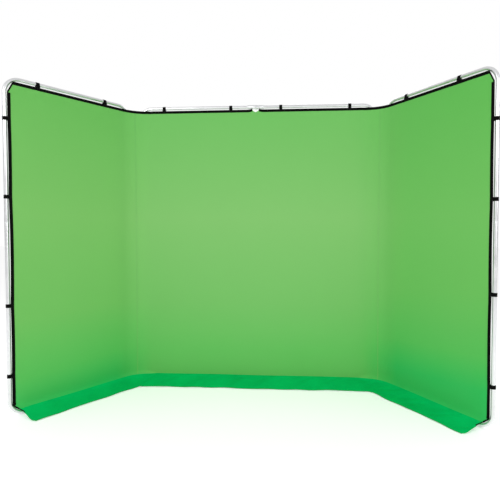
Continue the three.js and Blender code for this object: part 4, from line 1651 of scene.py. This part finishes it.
def strap_stitches(place, hem):
    """A stitched square with its diagonals on the strap's front tab."""
    shape = Shape()
    front = COVER_DEPTH + BAND_HALF + 2 * STRAP_HALF
    near, far = hem + 3 * MM, hem + TAB_SHARE * HEM_WIDTH - 2.5 * MM
    half = STRAP_WIDTH / 2 - 3 * MM
    corners = [(-half, near), (half, near), (half, far), (-half, far)]
    lines = list(zip(corners, corners[1:] + corners[:1]))
    lines += [(corners[0], corners[2]), (corners[1], corners[3])]
    for start, end in lines:
        start, end = np.array(start), np.array(end)
        length = np.linalg.norm(end - start)
        direction = (end - start) / length
        aside = np.array([-direction[1], direction[0]]) * STITCH_HALF
        count = max(1, int(length // (4 * MM)))
        for i in range(count):
            first = start + (end - start) * (i + 0.15) / count
            last = start + (end - start) * (i + 0.85) / count
            rings = []
            for point, width, rise in ((first, 0.5, 0.05), ((first + last) / 2, 1, 0.4), (last, 0.5, 0.05)):
                corner_sides = np.array([-1, 1, 0.6, -0.6]) * width
                around = point + corner_sides[:, None] * aside
                lifts = np.array([-0.1, -0.1, rise, rise]) * MM
                rings.append(place(front + lifts, around[:, 1], around[:, 0]))
            shape.loft(rings, ends="capped")
    return shape


def make_clip(name, body, place, hem, sign):
    """A strap clip and its stitches."""
    clip = make_piece(name, strap(place, hem), WEBBING, sign)
    assign(clip, "black_webbing", body)
    thread = make_piece(f"{name}_stitches", strap_stitches(place, hem), THREAD, sign)
    assign(thread, "black_webbing", body)


def rail_place(panel, middle_along):
    """How a strap's line lies round the top rail, with across going down towards the hem."""
    return lambda front, across, along: panel.place(middle_along + along, front, RAIL_HEIGHT - across)


def side_place(middle_height):
    """How a strap's line lies round a wing's outer upright, with across going in towards the hem."""
    return lambda front, across, along: WING.place(WING.length - across, front, middle_height + along)


def make_clips():
    below_rail = TUBE_RADIUS + HEM_GAP
    for side, sign in SIDES.items():
        for number, along in enumerate(CENTRE_CLIPS, 1):
            place = rail_place(CENTRE, along)
            make_clip(f"clip_centre_{side}_{number}", f"centre_{side}", place, below_rail, sign)
        for number, along in enumerate(WING_CLIPS[side], 1):
            place = rail_place(WING, along)
            make_clip(f"clip_{side}_wing_{number}", f"{side}_wing", place, below_rail, sign)
        for number, height in enumerate(SIDE_CLIPS[side], 1):
            make_clip(f"clip_{side}_side_{number}", f"{side}_wing", side_place(height), HEM_LAP, sign)


# ---------------------------------------------------------------- Skirts

SKIRT_ROWS = np.linspace(0, 1, 13)
LAP_ROWS = np.linspace(0.35, 0.97, 9)
BRIDGE_ROWS = np.linspace(0.03, 0.98, 12)
SKIRT_KEEP = 0.14  # how much of its depth a skirt keeps once a wing is folded against the centre
TUCK = 1.5 * MM  # how far a lap lies beneath what is over it
BRIDGE_HALF = 48 * MM  # half the width of the strip on the link
BRIDGE_COVER = 18 * MM  # how far a lap reaches over the strip on the link, with the panels in line
ROLL = 1.6 * MM  # radius of the rolled front edge
BOUND_SHARE = 0.34  # how far down the wing skirt's outer edge its binding runs


def rolled_edge(shape, s, drop, line):
    """A small closed roll along the skirt's front edge."""
    cos, sin = circle(8)
    rings = []
    for point, ahead in zip(skirt_points(s, np.full_like(s, 0.992), drop, line), line(s)[1]):
        flat = point[None, :2] + (ROLL * cos)[:, None] * ahead
        height = np.maximum(point[2] + ROLL * sin, 0.6 * MM)
        rings.append(np.concatenate([flat, height[:, None]], axis=1))
    shape.loft(rings, ends="capped")


def skirt_binding(shape, sign):
    """The thin binding where the wing's slanted edge runs on down its skirt."""
    v = np.linspace(0, BOUND_SHARE, 12)
    edge = np.full_like(v, sign * SHEET_END)
    line, beside = skirt_points(edge, v), skirt_points(edge - sign * MM, v)
    inward = (beside - line) / np.linalg.norm(beside - line, axis=1, keepdims=True)
    section = np.array(rounded_rectangle(BINDING_WIDTH, 2 * BINDING_HALF, 0.85 * BINDING_HALF, 2))
    rings = []
    for point, across, normal in zip(line + inward * BINDING_WIDTH / 2, inward, skirt_normals(edge, v)):
        rings.append(point + section[:, :1] * across + section[:, 1:] * normal)
    shape.loft(rings, ends="capped")


def skirt_home(part, side):
    """The panel, the body and the cover that a skirt's part for the centre, a link or a wing goes with."""
    homes = {
        "centre": (CENTRE, f"centre_{side}", "cover_centre"),
        "link": (LINK, f"{side}_link", f"cover_{side}_junction"),
        "wing": (WING, f"{side}_wing", f"cover_{side}_wing"),
    }
    return homes[part]


def flatten(piece, part, side):
    """Flattens a piece of skirt against its panel as the link swings."""
    panel = skirt_home(part, side)[0]
    mirror = np.array([SIDES[side], 1, 1])
    axis = panel.direction(0.0, 1.0, 0.0) * mirror
    anchor = panel.place(0.0, COVER_DEPTH, 0.0) * mirror
    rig.squash(piece, f"{side}_link_swing", tuple(axis), tuple(anchor), SKIRT_KEEP)


def skirt_trim(name, shape, material, slot, part, side):
    """A solid piece along a skirt's edge."""
    piece = make_piece(name, shape, material, crease_angle=60.0)
    assign(piece, slot, skirt_home(part, side)[1])
    flatten(piece, part, side)
    return piece


def skirt_piece(name, part, side, span, rows=SKIRT_ROWS, drop=0.0, line=plan):
    """A stretch of skirt along a line in plan, in rows down from its crease and lowered by a drop."""
    body, cover = skirt_home(part, side)[1:]
    places = spread(span, STEP / 2)
    places = places if SIDES[side] > 0 else -places[::-1]
    s, v = np.meshgrid(places, rows)
    shape = Shape()
    shape.grid(skirt_points(s, v, drop, line), s, SHEET_DROP + v * SKIRT_LENGTH)
    piece = make_piece(name, shape, SKIRT, crease_angle=180.0, solid=False)
    set_normals(piece, skirt_normals(s, v, line))
    assign(piece, "skirt_cloth", body)
    flatten(piece, part, side)
    edges = []
    fall = (rows[-1] - rows[0]) * SKIRT_DEPTH
    if rows is SKIRT_ROWS:
        fall = SKIRT_LENGTH
        shape = Shape()
        rolled_edge(shape, places, drop, line)
        edges = [skirt_trim(f"{name}_edge", shape, SKIRT_EDGE, "skirt_cloth", part, side)]
    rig.sheet(piece, (span[-1] - span[0], fall), "laid", [cover], with_pieces=edges)
    return piece


def make_skirts():
    """Each panel's skirt, which runs to its link's middle, with straight laps beneath that fill the gap.

    The laps and the strip on the link between them show only once the panels stand in line.
    """
    lap_width = CENTRE.length + LINK.length / 2 - CURVE_START - BRIDGE_HALF + BRIDGE_COVER
    centre_span = [0.0, CURVE_START, LINK_MIDDLE]
    wing_span = [LINK_MIDDLE, CURVE_END, SHEET_END - SQUEEZE, SHEET_END]
    centre_lap = [CURVE_START, CURVE_START + lap_width]
    wing_lap = [CURVE_END - lap_width, CURVE_END]
    bridge = [LINK_MIDDLE - BRIDGE_HALF, LINK_MIDDLE + BRIDGE_HALF]
    for side, sign in SIDES.items():
        skirt = skirt_piece(f"skirt_centre_{side}", "centre", side, centre_span)
        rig.replaces(skirt, f"centre_{side}_skirt")
        name, line = f"skirt_centre_{side}_lap", straight_on(CURVE_START)
        skirt_piece(name, "centre", side, centre_lap, LAP_ROWS, TUCK, line)
        skirt = skirt_piece(f"skirt_{side}_wing", "wing", side, wing_span)
        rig.replaces(skirt, f"{side}_wing_skirt")
        name, line = f"skirt_{side}_wing_lap", straight_on(CURVE_END)
        skirt_piece(name, "wing", side, wing_lap, LAP_ROWS, 2 * TUCK, line)
        name, line = f"skirt_{side}_bridge", straight_on(LINK_MIDDLE)
        skirt_piece(name, "link", side, bridge, BRIDGE_ROWS, 0.5 * TUCK, line)
        shape = Shape()
        skirt_binding(shape, sign)
        skirt_trim(f"skirt_{side}_binding", shape, WEBBING, "black_webbing", "wing", side)


# ---------------------------------------------------------------- Setting


def make_floor():
    bpy.ops.mesh.primitive_plane_add(size=60, location=(0, 0, 0))
    floor = bpy.context.object
    floor.name = "floor"
    nodes = Nodes("floor_paint", Roughness=0.9, Specular_IOR_Level=0.0)
    tone = nodes.noise(nodes.space(), 0.6, 2.0, 0.5)
    nodes.finish(nodes.ramp(tone, (0.3, grey(0.88)), (0.7, grey(0.9))))
    nodes.shader.inputs["Emission Color"].default_value = (1, 1, 1, 1)
    nodes.shader.inputs["Emission Strength"].default_value = 0.3
    floor.data.materials.append(nodes.material)
    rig.stage(floor)


def area_light(name, location, target, size, power):
    light = bpy.data.lights.new(name, "AREA")
    light.shape = "DISK"
    light.size = size
    light.energy = power
    lamp = bpy.data.objects.new(name, light)
    lamp.location = location
    lamp.rotation_euler = (Vector(target) - Vector(location)).to_track_quat("-Z", "Y").to_euler()
    bpy.context.scene.collection.objects.link(lamp)


def make_world():
    """A white surround to the camera, and a studio to everything else: bright above, dim at the sides."""
    world = bpy.data.worlds.new("studio")
    world.use_nodes = True
    tree = world.node_tree
    output = tree.nodes["World Output"]
    studio = tree.nodes["Background"]
    studio.inputs["Color"].default_value = (1, 1, 1, 1)
    white = tree.nodes.new("ShaderNodeBackground")
    white.inputs["Color"].default_value = (1, 1, 1, 1)
    direction = tree.nodes.new("ShaderNodeTexCoord")
    split = tree.nodes.new("ShaderNodeSeparateXYZ")
    shade = tree.nodes.new("ShaderNodeMapRange")
    shade.inputs["From Min"].default_value = -0.2
    shade.inputs["From Max"].default_value = 0.7
    shade.inputs["To Min"].default_value = 0.38
    shade.inputs["To Max"].default_value = 0.78
    path = tree.nodes.new("ShaderNodeLightPath")
    choice = tree.nodes.new("ShaderNodeMixShader")
    tree.links.new(direction.outputs["Generated"], split.inputs[0])
    tree.links.new(split.outputs["Z"], shade.inputs["Value"])
    tree.links.new(shade.outputs[0], studio.inputs["Strength"])
    tree.links.new(path.outputs["Is Camera Ray"], choice.inputs[0])
    tree.links.new(studio.outputs[0], choice.inputs[1])
    tree.links.new(white.outputs[0], choice.inputs[2])
    tree.links.new(choice.outputs[0], output.inputs["Surface"])
    bpy.context.scene.world = world
    bpy.context.scene.view_settings.view_transform = "Standard"


def make_lights():
    target = (0, 0, 1.2)
    area_light("key", (-3.3, -4.9, 3.9), target, 2.5, 100)
    area_light("fill", (3.8, -4.5, 3.2), target, 2.5, 90)
    area_light("back", (0.5, 4.5, 4.5), (0, 0.5, 2.0), 3.0, 60)


def make_camera():
    """At about eye height in front of the middle, looking slightly to the right and down."""
    camera = bpy.data.cameras.new("camera")
    camera.sensor_width = 36
    camera.lens = 31.8
    camera.shift_x = -0.0466
    camera.shift_y = -0.0118
    holder = bpy.data.objects.new("camera", camera)
    yaw, pitch = -0.0678, -0.0309
    ahead = Vector((math.sin(yaw) * math.cos(pitch), math.cos(yaw) * math.cos(pitch), math.sin(pitch)))
    holder.location = (0.394, CENTRE_POST[1] - 3.6686, 1.2671)
    holder.rotation_euler = ahead.to_track_quat("-Z", "Y").to_euler()
    bpy.context.scene.collection.objects.link(holder)
    bpy.context.scene.camera = holder


make_camera()
make_world()
make_lights()
make_floor()
make_bows()
make_uprights()
make_hinges()
make_clamps()
make_clips()
make_cover(make_hems())
make_seams()
make_skirts()

visual_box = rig.bounds()
sizes = {"cad": [list(corner) for corner in cad_box], "visual": [list(corner) for corner in visual_box]}
with open("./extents.json", "w") as file:
    json.dump(sizes, file)
